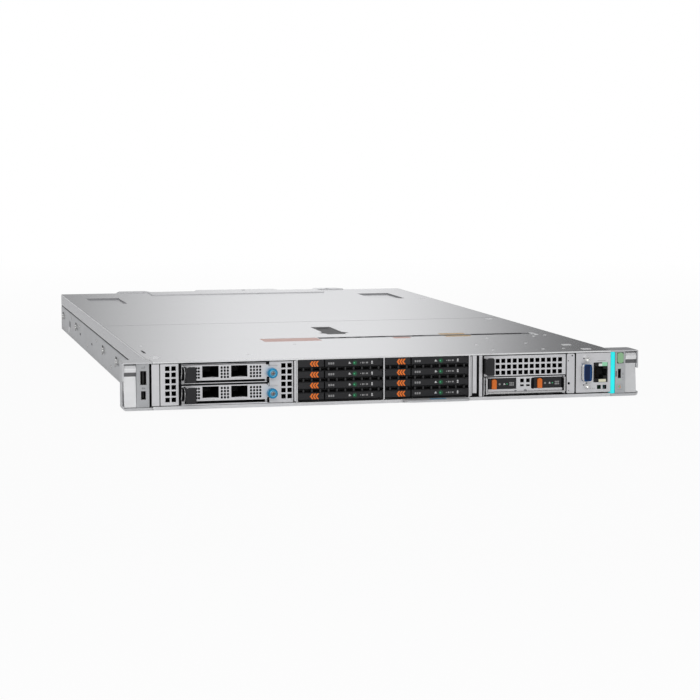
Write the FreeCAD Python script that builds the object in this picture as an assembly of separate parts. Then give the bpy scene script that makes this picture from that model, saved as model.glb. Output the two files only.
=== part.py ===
import FreeCAD
import Part
import math
import os

V = FreeCAD.Vector

# A rack server one unit high, with its drives, card slots, boot drives and ports at the front.
# X runs to the right seen from the front, Y runs to the rear and Z up.  The origin is on the
# underside, midway across, in the plane where the two ears meet the rack posts.

# ---------------------------------------------------------------- driving dimensions, in mm
ear_overhang = 24.0
body_height = 42.8
ear_depth = 25.4
depth_behind_ears = 774.6
sheet = 1.2
cover_sheet = 1.0
cover_bend = 0.80
clear = 0.3
running_clear = 0.05
bend_share = 0.4

# ears and their latches
ear_wall = 1.2
ear_lip_top = 1.3
ear_lip_bottom = 2.4
ear_lip_overlap = 2.5
ear_rear_chamfer = 6.0
ear_corner_radius = 3.0
ear_back_plate = 1.5
latch_slot_low = 4.5
latch_slot_high = 28.0
ear_flange_length = 18.0
ear_flange_gap = 3.0
finger_notch_depth = 10.0
finger_notch_low = 4.0
finger_notch_high = 26.0
ear_latch_width = 10.6
ear_latch_pivot_y = 7.0
ear_latch_pivot_z = 33.0
ear_latch_pin_radius = 1.5
ear_latch_pin_bite = 1.2
latch_bar_depth = 12.0
latch_roll_z = 37.0
latch_roll_radius = 1.8
latch_top_gap = 1.0
latch_toe = 0.8
latch_belly = 3.6
latch_fold = 1.2
latch_roll = 0.3
latch_brow = 3.2
hook_root = 2.0
hook_tip = 2.0
latch_fold_z = 34.0
latch_grip_z = 30.2
latch_back_z = 22.0
latch_heel_z = 14.0
latch_heel_depth = 6.0
latch_foot_depth = 5.0
hook_thickness = 2.5
hook_reach = 7.6
hook_low = 20.5
hook_high = 26.5
hook_lip = 5.0
hook_drop = 5.5

# control panels in the ears, light bar and power button
panel_setback = 0.6
control_panel_depth = 20.0
light_bar_width = 4.2
light_bar_corner = 0.6
light_bar_depth = 7.0
power_button_width = 5.6
power_button_height = 9.6
power_button_top = 40.4
power_button_proud = 0.2
power_button_travel = 0.8
power_button_depth = 6.0
power_button_corner = 1.2
usb_width = 5.7
usb_height = 12.6
usb_z = 29.0
small_port_width = 4.5
small_port_height = 7.8
small_port_z = 13.5
micro_port_width = 3.2
micro_port_height = 8.8
micro_port_z = 21.0
port_depth = 14.0
usb_tongue_width = 1.9
usb_tongue_height = 11.0
small_tongue_width = 1.1
small_tongue_height = 5.5
micro_tongue_width = 0.8
micro_tongue_height = 5.7
left_ports_shift = 0.4
right_ports_shift = 0.8

# covers
seam_y = 160.0
cover_slip = 0.4
cover_flange_height = 12.4
seam_recess_length = 218.0
seam_recess_inset = 24.0
seam_recess_width = 13.0
seam_recess_depth = 1.2
finger_pad_width = 39.0
finger_pad_length = 85.0
finger_pad_depth = 1.8
finger_pad_left_inset = 23.0
finger_pad_right_inset = 33.0
finger_pad_rear_inset = 75.0
crease_y = 332.0
crease_depth = 0.3
crease_width = 1.5
rear_band_length = 46.0
rear_band_width = 218.0
rear_band_rise = 1.0
rear_tab_length = 18.0
rear_tab_slant = 6.0
rear_tabs = ((-148.0, -104.0), (-50.0, 60.0), (103.0, 144.0))
latch_x = 2.0
latch_front_y = 190.0
latch_nose_width = 17.0
latch_nose_length = 6.0
latch_head_width = 29.0
latch_head_length = 13.5
latch_neck_length = 22.0
latch_stem_width = 18.0
latch_length = 78.0
latch_tip_corner = 1.5
latch_pocket_gap = 1.0
latch_thickness = 4.4
latch_pin_radius = 1.2
latch_grip = 1.6
latch_grip_pitch = 4.0
latch_grip_depth = 0.6
latch_grip_inset = 3.0
latch_grip_count = 4
latch_grip_end = 20.0

# front lips
front_hem = 3.0
top_hem = 1.3
top_hem_length = 4.0

# drive bays
bay_gap = 3.6
bay_wall = 1.2
bay_floor_z = 3.7
bay_floor_sheet = 0.7
drive_rows = 4
drive_pitch = 9.8
first_drive_z = 4.7
drive_height = 7.2
drive_length = 112.8
drive_width = 76.0
carrier_rail = 1.4
carrier_face_height = 6.5
carrier_face_raise = 0.4
carrier_face_y = 3.4
carrier_face_depth = 6.0
front_bar_thickness = 4.0
front_bar_proud = 1.2
button_length = 23.4
button_gap = 1.3
button_travel = 1.4
stem_width = 4.0
stem_height = 3.0
stem_length = 4.0
stem_socket_floor = 0.8
stem_bite = 0.5
handle_end_corner = 1.2
handle_bevel = 0.7
handle_pivot_inset = 2.4
handle_pin_radius = 0.8
lug_thickness = 0.8
cage_length = 130.0
shelf_sheet = 0.8
shelf_setback = 3.0
board_sheet = 1.6

# card bay on the left
card_bay_gap = 2.8
card_width = 78.4
card_low_z = 6.9
card_height = 13.9
card_pitch = 18.3
card_face_y = 1.0
card_face_sheet = 1.2
card_board_inset = 1.2
card_board_length = 115.0
card_board_raise = 0.4
cage_mouth_width = 14.8
cage_mouth_height = 10.3
cage_raise = 2.6
cage_wall = 0.4
cage_depth = 47.0
cage_back = 1.0
cage_first_x = 18.6
cage_spacing = 26.0
card_hole = 1.9
card_hole_pitch = 2.8
card_rail_grip = 1.6
card_frame_wall = 1.0
card_frame_gap = 1.4
card_hole_margin = 2.7
card_hole_rise = 3.1
card_hole_shift = 0.5
card_corner = 3.0
card_level_low = 3.6
card_level_high = 2.0
card_lid_gap = 0.7
card_frame_length = 90.0
tongue_width = 10.5
tongue_height = 12.0
screw_inset = 2.9
screw_drop = 1.4
tongue_overlap = 1.0
tongue_corner = 2.0
screw_radius = 4.7
screw_length = 7.6
screw_shaft_radius = 1.75
screw_shaft_length = 11.0
screw_recess_radius = 2.6
screw_recess_depth = 1.5
screw_knurl_count = 14
screw_knurl_depth = 0.45
screw_cap = 1.6
pull_tab_reach = 15.0
pull_tab_width = 8.8
pull_tab_sheet = 2.0
pull_strap = 1.0
pull_tab_inset = 2.0
pull_tab_corner = 3.0
pull_tab_nick = 1.0
pull_strap_inset = 0.8

# vent panels
vent_size = 4.1
vent_pitch = 5.58
vent_rows = 6
vent_low_z = 8.8
vent_margin = 3.4
left_vent_gap = 0.7
left_vent_width = 16.3
left_vent_shift = 1.0
filler_inset = 1.8
filler_width = 7.0
panel_return = 12.0
mid_panel_gap = 1.2
mid_panel_width = 21.9

# riser panel, boot drives and ports on the right
pillar_gap = 3.6
pillar_width = 3.9
riser_wall_gap = 2.4
riser_wall_width = 3.0
riser_gap = 1.6
riser_width = 79.4
riser_bottom = 21.2
riser_vent_inset = 13.3
riser_vent_pitch = 5.48
riser_vent_size = 3.9
riser_vent_margin = 5.8
riser_vent_rows = 3
riser_vent_low_z = 24.7
riser_setback = 1.2
riser_flange_length = 20.0
riser_tab_width = 7.4
riser_tab_bottom = 23.0
riser_tab_reach = 8.0
bracket_hole = 1.0
bracket_hole_x = 2.0
bracket_hole_z = 12.8
bracket_rivet = 1.3
bracket_rivet_proud = 0.5
bracket_rivet_x = 3.4
boot_bottom = 4.6
boot_top = 20.6
boot_frame_sheet = 0.8
boot_frame_length = 100.0
boot_carrier_width = 26.4
boot_carrier_height = 10.2
boot_carrier_z = 9.8
boot_carrier_inset = 4.6
boot_face_depth = 6.0
boot_face_setback = 0.6
boot_wall = 0.8
boot_tray = 1.6
boot_board_rise = 3.0
boot_sill_inset = 3.6
boot_sill_height = 2.3
boot_post_depth = 2.0
boot_vent_size = 3.7
boot_vent_z = 17.0
boot_slot_z = 12.5
boot_slot_height = 1.8
boot_vent_spacing = 5.8
boot_board_length = 80.0
boot_board_width = 22.0
boot_latch_width = 4.4
boot_latch_height = 9.0
boot_latch_inset = 3.0
boot_latch_proud = 1.4
boot_latch_travel = 1.6
boot_latch_corner = 1.2
boot_bail_wire = 1.4
boot_bail_proud = 3.0
boot_bail_rise = 14.0
bracket_gap = 0.6
bracket_width = 7.6
bracket_corner = 1.4
io_gap = 1.4
io_width = 33.7
io_inset = 3.1
vga_inset = 10.0
vga_z = 23.0
vga_height = 17.0
vga_width = 9.0
vga_slant = 1.1
vga_corner = 1.8
vga_soft = 0.35
vga_shell = 0.5
vga_proud = 5.0
vga_core_setback = 0.6
vga_flange_width = 12.4
vga_flange_height = 30.8
jack_screw_spacing = 25.0
jack_screw_across = 4.8
jack_screw_bore = 1.42
jack_screw_proud = 4.5
rj_inset = 24.1
rj_setback = 0.6
rj_z = 22.6
rj_body_width = 13.4
rj_body_height = 18.0
rj_mouth_width = 8.5
rj_mouth_height = 11.7
rj_key_width = 3.2
rj_key_height = 6.4
rj_depth = 12.0
rj_body_depth = 15.0
rj_lip = 1.0
io_vent_z = 8.9
io_vent_inset = 22.6
io_vent_pitch = 5.5
io_lift = 0.8
port_tongue_setback = 3.0
port_board_gap = 1.0
port_board_top = 40.0
port_board_bottom = 5.0
port_board_inset = 2.0

# pull-out information tag under the right drive bay
tag_shift = 7.6
tag_width = 60.4
tag_thickness = 1.8
tag_z = 1.5
tag_proud = 14.0
tag_inside = 72.0
tag_radius = 6.0

# fans
fan_count = 7
fan_pitch = 58.0
fan_size = 40.0
fan_length = 28.0
fan_y = 292.0
fan_bore_radius = 18.8
fan_hub_radius = 8.0
fan_hub_length = 15.0
fan_tip_clear = 0.7
fan_blade_count = 5
fan_blade_thickness = 1.0
fan_blade_chord = 13.0
fan_blade_slant = 38.0
fan_shaft_radius = 1.5
fan_cup_length = 8.0
fan_strut = 2.0
fan_strut_depth = 3.0
fan_strut_count = 3
fan_strut_bite = 0.5
fan_strut_turn = 30.0
fan_cup_floor = 1.0
fan_blade_root = 1.5

# system board, processors, memory and heat sinks
board_y = 338.0
board_length = 232.0
board_width = 408.0
board_z = 7.0
standoff_radius = 3.0
standoff_inset = 11.0
standoff_columns = 4
standoff_rows = 3
socket_width = 60.0
socket_length = 80.0
socket_height = 4.0
processor_spacing = 207.0
processor_inset = 92.0
sink_width = 82.0
sink_length = 108.0
sink_height = 26.5
sink_base = 4.0
sink_fin_count = 11
sink_fin_thickness = 1.0
memory_pitch = 7.6
memory_count = 4
memory_length = 133.4
memory_height = 31.2
memory_thickness = 2.6
memory_gap = 3.5

# power supplies
psu_width = 73.5
psu_height = 38.0
psu_length = 185.0
psu_handle_reach = 24.0
psu_handle_bar = 5.0
psu_handle_width = 40.0
psu_inlet_width = 27.0
psu_inlet_height = 20.0
psu_inlet_depth = 16.0
psu_pin_recess = 4.8
psu_grille_radius = 15.0
psu_grille_pitch = 4.4
psu_grille_slot = 2.8
psu_grille_slots = 7
psu_grille_depth = 2.0
psu_grille_inset = 18.5
psu_inlet_inset = 8.0
psu_inlet_corner = 4.0
psu_pin_spacing = 7.0
psu_pin_rise = 4.0
psu_pin_width = 2.0
psu_pin_height = 4.0
psu_pin_drop = 1.0
psu_handle_height = 4.0
psu_handle_drop = 4.5
psu_handle_corner = 6.0
psu_handle_shift = 1.5
psu_tab_width = 4.0
psu_tab_height = 12.0
psu_tab_reach = 14.0
psu_tab_slant = 4.0
psu_tab_lift = 6.0
psu_tab_inset = 5.0
rear_vent_width = 17.0
rear_vent_height = 14.0
rear_vent_pitch = 23.5
rear_vent_columns = 11
rear_vent_rows = 2
rear_vent_low_z = 12.0
rear_vent_rise = 17.5

# studs that hang the server on its rack rails
stud_radius = 4.0
stud_head = 1.2
stud_neck_radius = 2.5
stud_neck = 1.4
stud_z = 18.0
stud_ys = (205.0, 320.0, 590.0, 740.0)

# ---------------------------------------------------------------- places worked out from them
face = -ear_depth
rear = depth_behind_ears
bay_width = drive_width + 2 * (carrier_rail + clear)
card_bay_end = filler_inset + filler_width + left_vent_gap + left_vent_width + card_bay_gap + card_width
bays_end = card_bay_end + mid_panel_gap + mid_panel_width + bay_gap + 2 * bay_width + bay_wall
riser_start = bays_end + pillar_gap + pillar_width + riser_wall_gap + riser_wall_width + riser_gap
io_start = riser_start + riser_width + bracket_gap + bracket_width + io_gap
half = (io_start + io_width + io_inset) / 2
ear_edge = half + ear_overhang
lip_inner = half - ear_lip_overlap
floor_half = lip_inner - clear
cover_under = body_height - cover_sheet
flange_bottom = body_height - cover_flange_height
wall_step = cover_sheet + cover_slip
wall_top = cover_under - cover_slip
latch_outer = ear_edge - ear_wall - clear
latch_inner = latch_outer - ear_latch_width
panel_outer = latch_inner - clear
panel_low = ear_lip_bottom + clear
panel_high = body_height - ear_lip_top - clear
panel_bottom = front_hem + clear
panel_top = body_height - top_hem - clear
panel_face = face + 0.4
left_vent_x = filler_inset + filler_width + left_vent_gap - half
card_left = card_bay_end - card_width - half
mid_panel_x = card_bay_end + mid_panel_gap - half
cage_right = bays_end - half
bay_lefts = (cage_right - 2 * bay_width - bay_wall, cage_right - bay_width)
bay_left = bay_lefts[0]
pillar_x = cage_right + pillar_gap
riser_wall_x = pillar_x + pillar_width + riser_wall_gap
riser_x = riser_start - half
bracket_x = riser_x + riser_width + bracket_gap
io_x = io_start - half
io_right = io_x + io_width
vga_x = io_x + vga_inset
rj_x = io_x + rj_inset
tag_x = bay_lefts[1] + bay_width / 2 + tag_shift
light_bar_x = (io_right + clear, io_right + clear + light_bar_width)
left_panel_x = (-panel_outer, -half - clear)
right_panel_x = (light_bar_x[1] + clear, panel_outer)
left_ports_x = sum(left_panel_x) / 2 + left_ports_shift
right_ports_x = sum(right_panel_x) / 2 - right_ports_shift
seam_recess_right = half - seam_recess_inset
seam_recess_left = seam_recess_right - seam_recess_length
processor_y = board_y + processor_inset
board_top = board_z + board_sheet
fan_z = sheet + clear + fan_size / 2
psu_right = half - wall_step - sheet - clear
psu_left_edge = psu_right - psu_width
psu_z = sheet + clear
psu_front = rear - psu_length


# ---------------------------------------------------------------- shared shapes
def block(x0, x1, y0, y1, z0, z1):
    return Part.makeBox(x1 - x0, y1 - y0, z1 - z0, V(x0, y0, z0))


def rod(x, y, z, axis, radius, length):
    return Part.makeCylinder(radius, length, V(x, y, z), axis)


def outline(points, radii=None):
    """A closed wire through the points, with an arc of the given radius at chosen corners."""
    radii = radii or {}
    count = len(points)
    starts = []
    ends = []
    mids = []
    for i, point in enumerate(points):
        if i not in radii:
            starts.append(point)
            ends.append(point)
            mids.append(None)
            continue
        back = (points[i - 1] - point).normalize()
        ahead = (points[(i + 1) % count] - point).normalize()
        half_angle = back.getAngle(ahead) / 2
        reach = radii[i] / math.tan(half_angle)
        middle = (back + ahead).normalize()
        starts.append(point + back * reach)
        ends.append(point + ahead * reach)
        mids.append(point + middle * (radii[i] / math.sin(half_angle) - radii[i]))
    edges = []
    for i in range(count):
        if mids[i] is not None:
            edges.append(Part.Arc(starts[i], mids[i], ends[i]).toShape())
        following = starts[(i + 1) % count]
        if (following - ends[i]).Length > 1e-6:
            edges.append(Part.LineSegment(ends[i], following).toShape())
    return Part.Wire(edges)


def ring(u, v, radius, sides=12, hole=False):
    """Corners of a regular outline; the flats of a hole, not its corners, lie at the radius."""
    reach = radius / math.cos(math.pi / sides) if hole else radius
    turns = [2 * math.pi * (i + 0.5) / sides for i in range(sides)]
    return [(u + reach * math.cos(turn), v + reach * math.sin(turn)) for turn in turns]


def clipped(points, cuts):
    """The outline with chosen corners cut off straight at the given distance."""
    count = len(points)
    result = []
    for i, point in enumerate(points):
        if i not in cuts:
            result.append(point)
            continue
        for other in (points[i - 1], points[(i + 1) % count]):
            share = cuts[i] / math.dist(point, other)
            result.append(tuple(p + (o - p) * share for p, o in zip(point, other)))
    return result


def oblong(u0, u1, v0, v1):
    return [(u0, v0), (u1, v0), (u1, v1), (u0, v1)]


def along_x(points, x0, x1, radii=None):
    wire = outline([V(x0, y, z) for y, z in points], radii)
    return Part.Face(wire).extrude(V(x1 - x0, 0, 0))


def along_y(points, y0, y1, radii=None):
    wire = outline([V(x, y0, z) for x, z in points], radii)
    return Part.Face(wire).extrude(V(0, y1 - y0, 0))


def along_z(points, z0, z1, radii=None):
    wire = outline([V(x, y, z0) for x, y in points], radii)
    return Part.Face(wire).extrude(V(0, 0, z1 - z0))


def joined(shapes):
    return shapes[0].fuse(shapes[1:]).removeSplitter()


def less(shape, tools):
    return shape.cut(Part.makeCompound(tools))


def mirrored(shape):
    return shape.mirror(V(0, 0, 0), V(1, 0, 0))


def save(name, shapes):
    solids = [solid for shape in shapes for solid in shape.Solids]
    whole = solids[0] if len(solids) == 1 else Part.makeCompound(solids)
    whole.exportStep("parts/" + name + ".step")


def vents(xs, zs, size, y0, y1):
    return [block(x - size / 2, x + size / 2, y0, y1, z - size / 2, z + size / 2) for x in xs for z in zs]


def stepped(start, pitch, count):
    return [start + pitch * i for i in range(count)]


def pressed(plate, plan, depth, top):
    """A flat-bottomed recess of the given plan pressed into a cover whose upper side is at top."""
    floor = Part.Face(outline([V(x, y, top - depth) for x, y in plan]))
    inner = floor.extrude(V(0, 0, depth + 1))
    wider = floor.makeOffset2D(cover_sheet, 2)
    wider.translate(V(0, 0, -cover_sheet))
    outer = wider.extrude(V(0, 0, depth + cover_sheet))
    return joined([plate.cut(outer), outer.cut(inner)])


def channel(x0, x1, y0, depth, z0, z1, thickness):
    """A front strip of sheet with both edges folded back, upright between z0 and z1."""
    points = [
        (x0, y0),
        (x1, y0),
        (x1, y0 + depth),
        (x1 - thickness, y0 + depth),
        (x1 - thickness, y0 + thickness),
        (x0 + thickness, y0 + thickness),
        (x0 + thickness, y0 + depth),
        (x0, y0 + depth),
    ]
    return along_z(points, z0, z1)


# ---------------------------------------------------------------- chassis and covers
def chassis_tray():
    """Floor, stepped side walls and rear wall, folded from one sheet, with the rail studs."""
    joggle = flange_bottom - wall_step - sheet
    right = [
        (half, 0),
        (half, joggle),
        (half - wall_step, joggle + wall_step),
        (half - wall_step, wall_top),
    ]
    left = [(-x, z) for x, z in reversed(right)]
    bend = bend_share * sheet
    inner_right = [
        (half - wall_step - sheet, wall_top),
        (half - wall_step - sheet, joggle + wall_step - bend),
        (half - sheet, joggle - bend),
        (half - sheet, sheet),
    ]
    inner_left = [(-x, z) for x, z in reversed(inner_right)]
    shell = along_y(right + inner_right + inner_left + left, 0, rear)
    back = along_y(right + left, rear - sheet, rear)
    tongue = block(-floor_half, floor_half, face, 0, 0, sheet)
    hem = block(-floor_half, floor_half, face, face + sheet, 0, front_hem)
    wall_x = psu_left_edge - clear
    wall_y = psu_front - panel_return
    walls = [
        block(wall_x - sheet, wall_x, wall_y, rear, sheet, psu_z + psu_height),
        block(-wall_x, sheet - wall_x, wall_y, rear, sheet, psu_z + psu_height),
    ]
    posts = []
    across = (board_width - 2 * standoff_inset) / (standoff_columns - 1)
    back_by = (board_length - 2 * standoff_inset) / (standoff_rows - 1)
    for x in stepped(-board_width / 2 + standoff_inset, across, standoff_columns):
        for y in stepped(board_y + standoff_inset, back_by, standoff_rows):
            posts.append(along_z(ring(x, y, standoff_radius, 6), sheet / 2, board_z))
    studs = []
    for y in stud_ys:
        for side in (-1, 1):
            inner_end, outer_end = sorted((side * (half - sheet / 2), side * (half + stud_neck)))
            studs.append(along_x(ring(y, stud_z, stud_neck_radius, 6), inner_end, outer_end))
            studs.append(rod(side * (half + stud_neck), y, stud_z, V(side, 0, 0), stud_radius, stud_head))
    body = joined([shell, back, tongue, hem] + walls + posts + studs)
    openings = []
    for side in (-1, 1):
        low, high = sorted((side * (psu_left_edge - clear), side * (psu_right + clear)))
        openings.append(block(low, high, rear - sheet, rear, sheet, psu_z + psu_height + clear))
    openings.append(
        block(
            tag_x - tag_width / 2 - clear,
            tag_x + tag_width / 2 + clear,
            face,
            face + sheet,
            sheet,
            tag_z + tag_thickness + clear,
        )
    )
    first = -rear_vent_pitch * (rear_vent_columns - 1) / 2
    for x in stepped(first, rear_vent_pitch, rear_vent_columns):
        for z in stepped(rear_vent_low_z, rear_vent_rise, rear_vent_rows):
            slot = oblong(
                x - rear_vent_width / 2,
                x + rear_vent_width / 2,
                z - rear_vent_height / 2,
                z + rear_vent_height / 2,
            )
            openings.append(along_y(slot, rear - sheet, rear))
    return less(body, openings)


def cover_section(y0, y1):
    """Flat top with a side flange folded down along each edge."""
    inner = half - cover_sheet
    points = [
        (-half, flange_bottom),
        (-inner, flange_bottom),
        (-inner, cover_under),
        (inner, cover_under),
        (inner, flange_bottom),
        (half, flange_bottom),
        (half, body_height),
        (-half, body_height),
    ]
    return along_y(points, y0, y1, {6: cover_bend, 7: cover_bend})


def front_top_plate():
    """Fixed front lid with its folded front edge and the sunken strip along the seam."""
    rear_edge = seam_y - clear
    plate = cover_section(0, rear_edge)
    nose = block(-floor_half, floor_half, face, 0, cover_under, body_height)
    hem = block(-floor_half, floor_half, face, face + top_hem_length, body_height - top_hem, body_height)
    plate = joined([plate, nose, hem])
    strip = oblong(seam_recess_left, seam_recess_right, seam_y - seam_recess_width, rear_edge)
    plate = pressed(plate, strip, seam_recess_depth, body_height)
    return plate.cut(block(-half, half, rear_edge, rear_edge + 2 * cover_sheet, 0, body_height + 1))


def rear_cover():
    """Lift-off lid with finger pads, a crease, the latch pocket and a raised band with rear tabs."""
    cover = cover_section(seam_y, rear)
    pad_end = rear - finger_pad_rear_inset
    pad_lefts = (finger_pad_left_inset - half, half - finger_pad_right_inset - finger_pad_width)
    for x in pad_lefts:
        pad = oblong(x, x + finger_pad_width, pad_end - finger_pad_length, pad_end)
        cover = pressed(cover, pad, finger_pad_depth, body_height)
    side = rear_band_width / 2
    band_y = rear - rear_band_length
    band_top = body_height + rear_band_rise
    band = block(-side, side, band_y, rear, cover_under, band_top)
    hollow = block(
        cover_sheet - side,
        side - cover_sheet,
        band_y + cover_sheet,
        rear,
        cover_under - 1,
        band_top - cover_sheet,
    )
    tabs = []
    for left, right in rear_tabs:
        slant = rear_tab_slant
        plan = [
            (left, rear - cover_sheet),
            (right, rear - cover_sheet),
            (right - slant, rear + rear_tab_length),
            (left + slant, rear + rear_tab_length),
        ]
        tabs.append(along_z(plan, band_top - cover_sheet - clear, band_top))
    cover = joined([cover.cut(band), band.cut(hollow)] + tabs)
    crease_z = body_height - crease_depth
    cover = cover.cut(block(-half, half, crease_y, crease_y + crease_width, crease_z, body_height))
    cover = pressed(cover, latch_plan(latch_pocket_gap), latch_thickness + 2 * clear, body_height)
    pivot_y, pivot_z = latch_pivot()
    reach = latch_nose_width / 2 + latch_pocket_gap + 3 * cover_sheet
    bore = ring(pivot_y, pivot_z, latch_pin_radius + running_clear, hole=True)
    return cover.cut(along_x(bore, latch_x - reach, latch_x + reach))


def latch_plan(grow):
    """Plan of the cover latch seen from above: a short nose, two pointed wings and the stem."""
    nose = latch_nose_width / 2 + grow
    head = latch_head_width / 2 + grow
    stem = latch_stem_width / 2 + grow
    sides = [
        (nose, latch_front_y - grow),
        (nose, latch_front_y + latch_nose_length),
        (head, latch_front_y + latch_head_length),
        (stem, latch_front_y + latch_neck_length),
        (stem, latch_front_y + latch_length + grow),
    ]
    return [(latch_x + x, y) for x, y in sides] + [(latch_x - x, y) for x, y in reversed(sides)]


def latch_pivot():
    return latch_front_y + latch_thickness / 2, body_height - clear - latch_thickness / 2


def cover_latch():
    """Winged lever whose rounded nose turns on a pin across the pocket."""
    pivot_y, pivot_z = latch_pivot()
    radius = latch_thickness / 2
    low = pivot_z - radius
    high = pivot_z + radius
    tip_y = latch_front_y + latch_length
    plan = [(x, max(y, pivot_y)) for x, y in latch_plan(0)]
    arm = along_z(clipped(plan, {4: latch_tip_corner, 5: latch_tip_corner}), low, high)
    nose_half = latch_nose_width / 2
    nose = rod(latch_x - nose_half, pivot_y, pivot_z, V(1, 0, 0), radius, 2 * nose_half)
    reach = nose_half + latch_pocket_gap + cover_sheet - clear
    pin = along_x(ring(pivot_y, pivot_z, latch_pin_radius), latch_x - reach, latch_x + reach)
    grips = []
    grip_half = latch_stem_width / 2 - latch_grip_inset
    for y in stepped(tip_y - latch_grip_end, latch_grip_pitch, latch_grip_count):
        grip = oblong(latch_x - grip_half, latch_x + grip_half, y, y + latch_grip)
        grips.append(along_z(grip, high - latch_grip_depth, high))
    return less(joined([arm, nose, pin]), grips)


# ---------------------------------------------------------------- ears
def latch_slot():
    middle = (latch_inner + latch_outer) / 2
    side = hook_thickness / 2 + 2 * clear
    return block(middle - side, middle + side, -ear_back_plate - 1, 1, latch_slot_low, latch_slot_high)


def rack_ear():
    """Right-hand ear: folded lips and side wall, back plate and the flange riveted to the chassis."""
    lip_z = body_height - ear_lip_top
    wall_x = ear_edge - ear_wall
    points = [
        (lip_inner, 0),
        (ear_edge, 0),
        (ear_edge, body_height),
        (lip_inner, body_height),
        (lip_inner, lip_z),
        (wall_x, lip_z),
        (wall_x, ear_lip_bottom),
        (lip_inner, ear_lip_bottom),
    ]
    skin = along_y(points, face, 0, {1: ear_corner_radius, 2: ear_wall})
    back = block(half, wall_x, -ear_back_plate, 0, ear_lip_bottom, lip_z)
    flange_top = flange_bottom - ear_flange_gap
    flange = block(half, half + sheet, -ear_back_plate, ear_flange_length, ear_lip_bottom, flange_top)
    ear = joined([skin, back, flange])
    chamfer_plan = [
        (ear_edge, -ear_rear_chamfer),
        (ear_edge + 1, -ear_rear_chamfer),
        (ear_edge + 1, 1),
        (ear_edge - ear_rear_chamfer / 2, 1),
    ]
    chamfer = along_z(chamfer_plan, -1, body_height + 1)
    notch = block(
        wall_x - 1, ear_edge + 1, face - 1, face + finger_notch_depth, finger_notch_low, finger_notch_high
    )
    pin_y = face + ear_latch_pivot_y
    bore = ring(pin_y, ear_latch_pivot_z, ear_latch_pin_radius + running_clear, hole=True)
    pin_hole = along_x(bore, wall_x - 1, ear_edge + 1)
    inner_cut = block(lip_inner - 1, half, -ear_back_plate, 1, -1, body_height + 1)
    return less(ear, [chamfer, notch, latch_slot(), pin_hole, inner_cut])


def ear_latch():
    """Right-hand latch: a rolled finger bar that turns on a pin, with the hook that holds the rail."""
    top = panel_high - latch_top_gap
    low = panel_low + clear
    points = [
        (face + latch_toe, low),
        (face + latch_belly, latch_grip_z),
        (face + latch_fold, latch_fold_z),
        (face + latch_roll, latch_roll_z),
        (face + latch_brow, top),
        (face + latch_bar_depth, top),
        (face + latch_bar_depth, latch_back_z),
        (face + latch_heel_depth, latch_heel_z),
        (face + latch_foot_depth, low),
    ]
    bar = along_x(points, latch_inner, latch_outer, {3: latch_roll_radius, 4: latch_roll_radius})
    middle = (latch_inner + latch_outer) / 2
    hook = [
        (face + latch_bar_depth - hook_root, hook_low),
        (hook_reach - hook_lip, hook_low),
        (hook_reach - hook_lip, hook_low - hook_drop),
        (hook_reach, hook_low - hook_drop + hook_tip),
        (hook_reach, hook_high),
        (face + latch_bar_depth - hook_root, hook_high),
    ]
    claw = along_x(hook, middle - hook_thickness / 2, middle + hook_thickness / 2)
    pin_x = panel_outer - ear_latch_pin_bite
    pin_y = face + ear_latch_pivot_y
    length = ear_edge - clear - pin_x
    pin = rod(pin_x, pin_y, ear_latch_pivot_z, V(1, 0, 0), ear_latch_pin_radius, length)
    return joined([bar, claw, pin])


def port_hole(x, z, width, height):
    y0 = face + panel_setback - 1
    return block(x - width / 2, x + width / 2, y0, face + port_depth, z - height / 2, z + height / 2)


def latch_pin_hole(side):
    ends = sorted((side * (panel_outer - ear_latch_pin_bite - clear), side * (panel_outer + 1)))
    radius = ear_latch_pin_radius + running_clear
    return along_x(ring(face + ear_latch_pivot_y, ear_latch_pivot_z, radius, hole=True), *ends)


def power_button_box(grow):
    x = sum(right_panel_x) / 2
    return (
        x - power_button_width / 2 - grow,
        x + power_button_width / 2 + grow,
        power_button_top - power_button_height - grow,
        power_button_top + grow,
    )


def control_panels():
    """Moulded panels in the two ears, with pockets for the ports and the power button."""
    y0 = face + panel_setback
    left = block(*left_panel_x, y0, y0 + control_panel_depth, panel_low, panel_high)
    left = less(
        left,
        [
            port_hole(left_ports_x, usb_z, usb_width, usb_height),
            port_hole(left_ports_x, small_port_z, small_port_width, small_port_height),
            latch_pin_hole(-1),
        ],
    )
    right = block(*right_panel_x, y0, y0 + control_panel_depth, panel_low, panel_high)
    x0, x1, z0, z1 = power_button_box(clear)
    pocket = block(x0, x1, y0 - 1, y0 + power_button_depth, z0, z1)
    port = port_hole(right_ports_x, micro_port_z, micro_port_width, micro_port_height)
    return [left, less(right, [port, pocket, latch_pin_hole(1)])]


def light_bar():
    y0 = face + panel_setback / 3
    x0, x1 = light_bar_x
    plan = clipped(oblong(x0, x1, y0, y0 + light_bar_depth), {0: light_bar_corner, 1: light_bar_corner})
    return along_z(plan, panel_low, panel_high)


def power_button():
    """Button with cut corners, with its travel left free behind it in the pocket."""
    x0, x1, z0, z1 = power_button_box(0)
    y0 = face - power_button_proud
    y1 = face + panel_setback + power_button_depth - power_button_travel - clear
    return along_y(clipped(oblong(x0, x1, z0, z1), {i: power_button_corner for i in range(4)}), y0, y1)


# ---------------------------------------------------------------- drive bays
def row_z(row):
    return first_drive_z + drive_pitch * row


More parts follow.
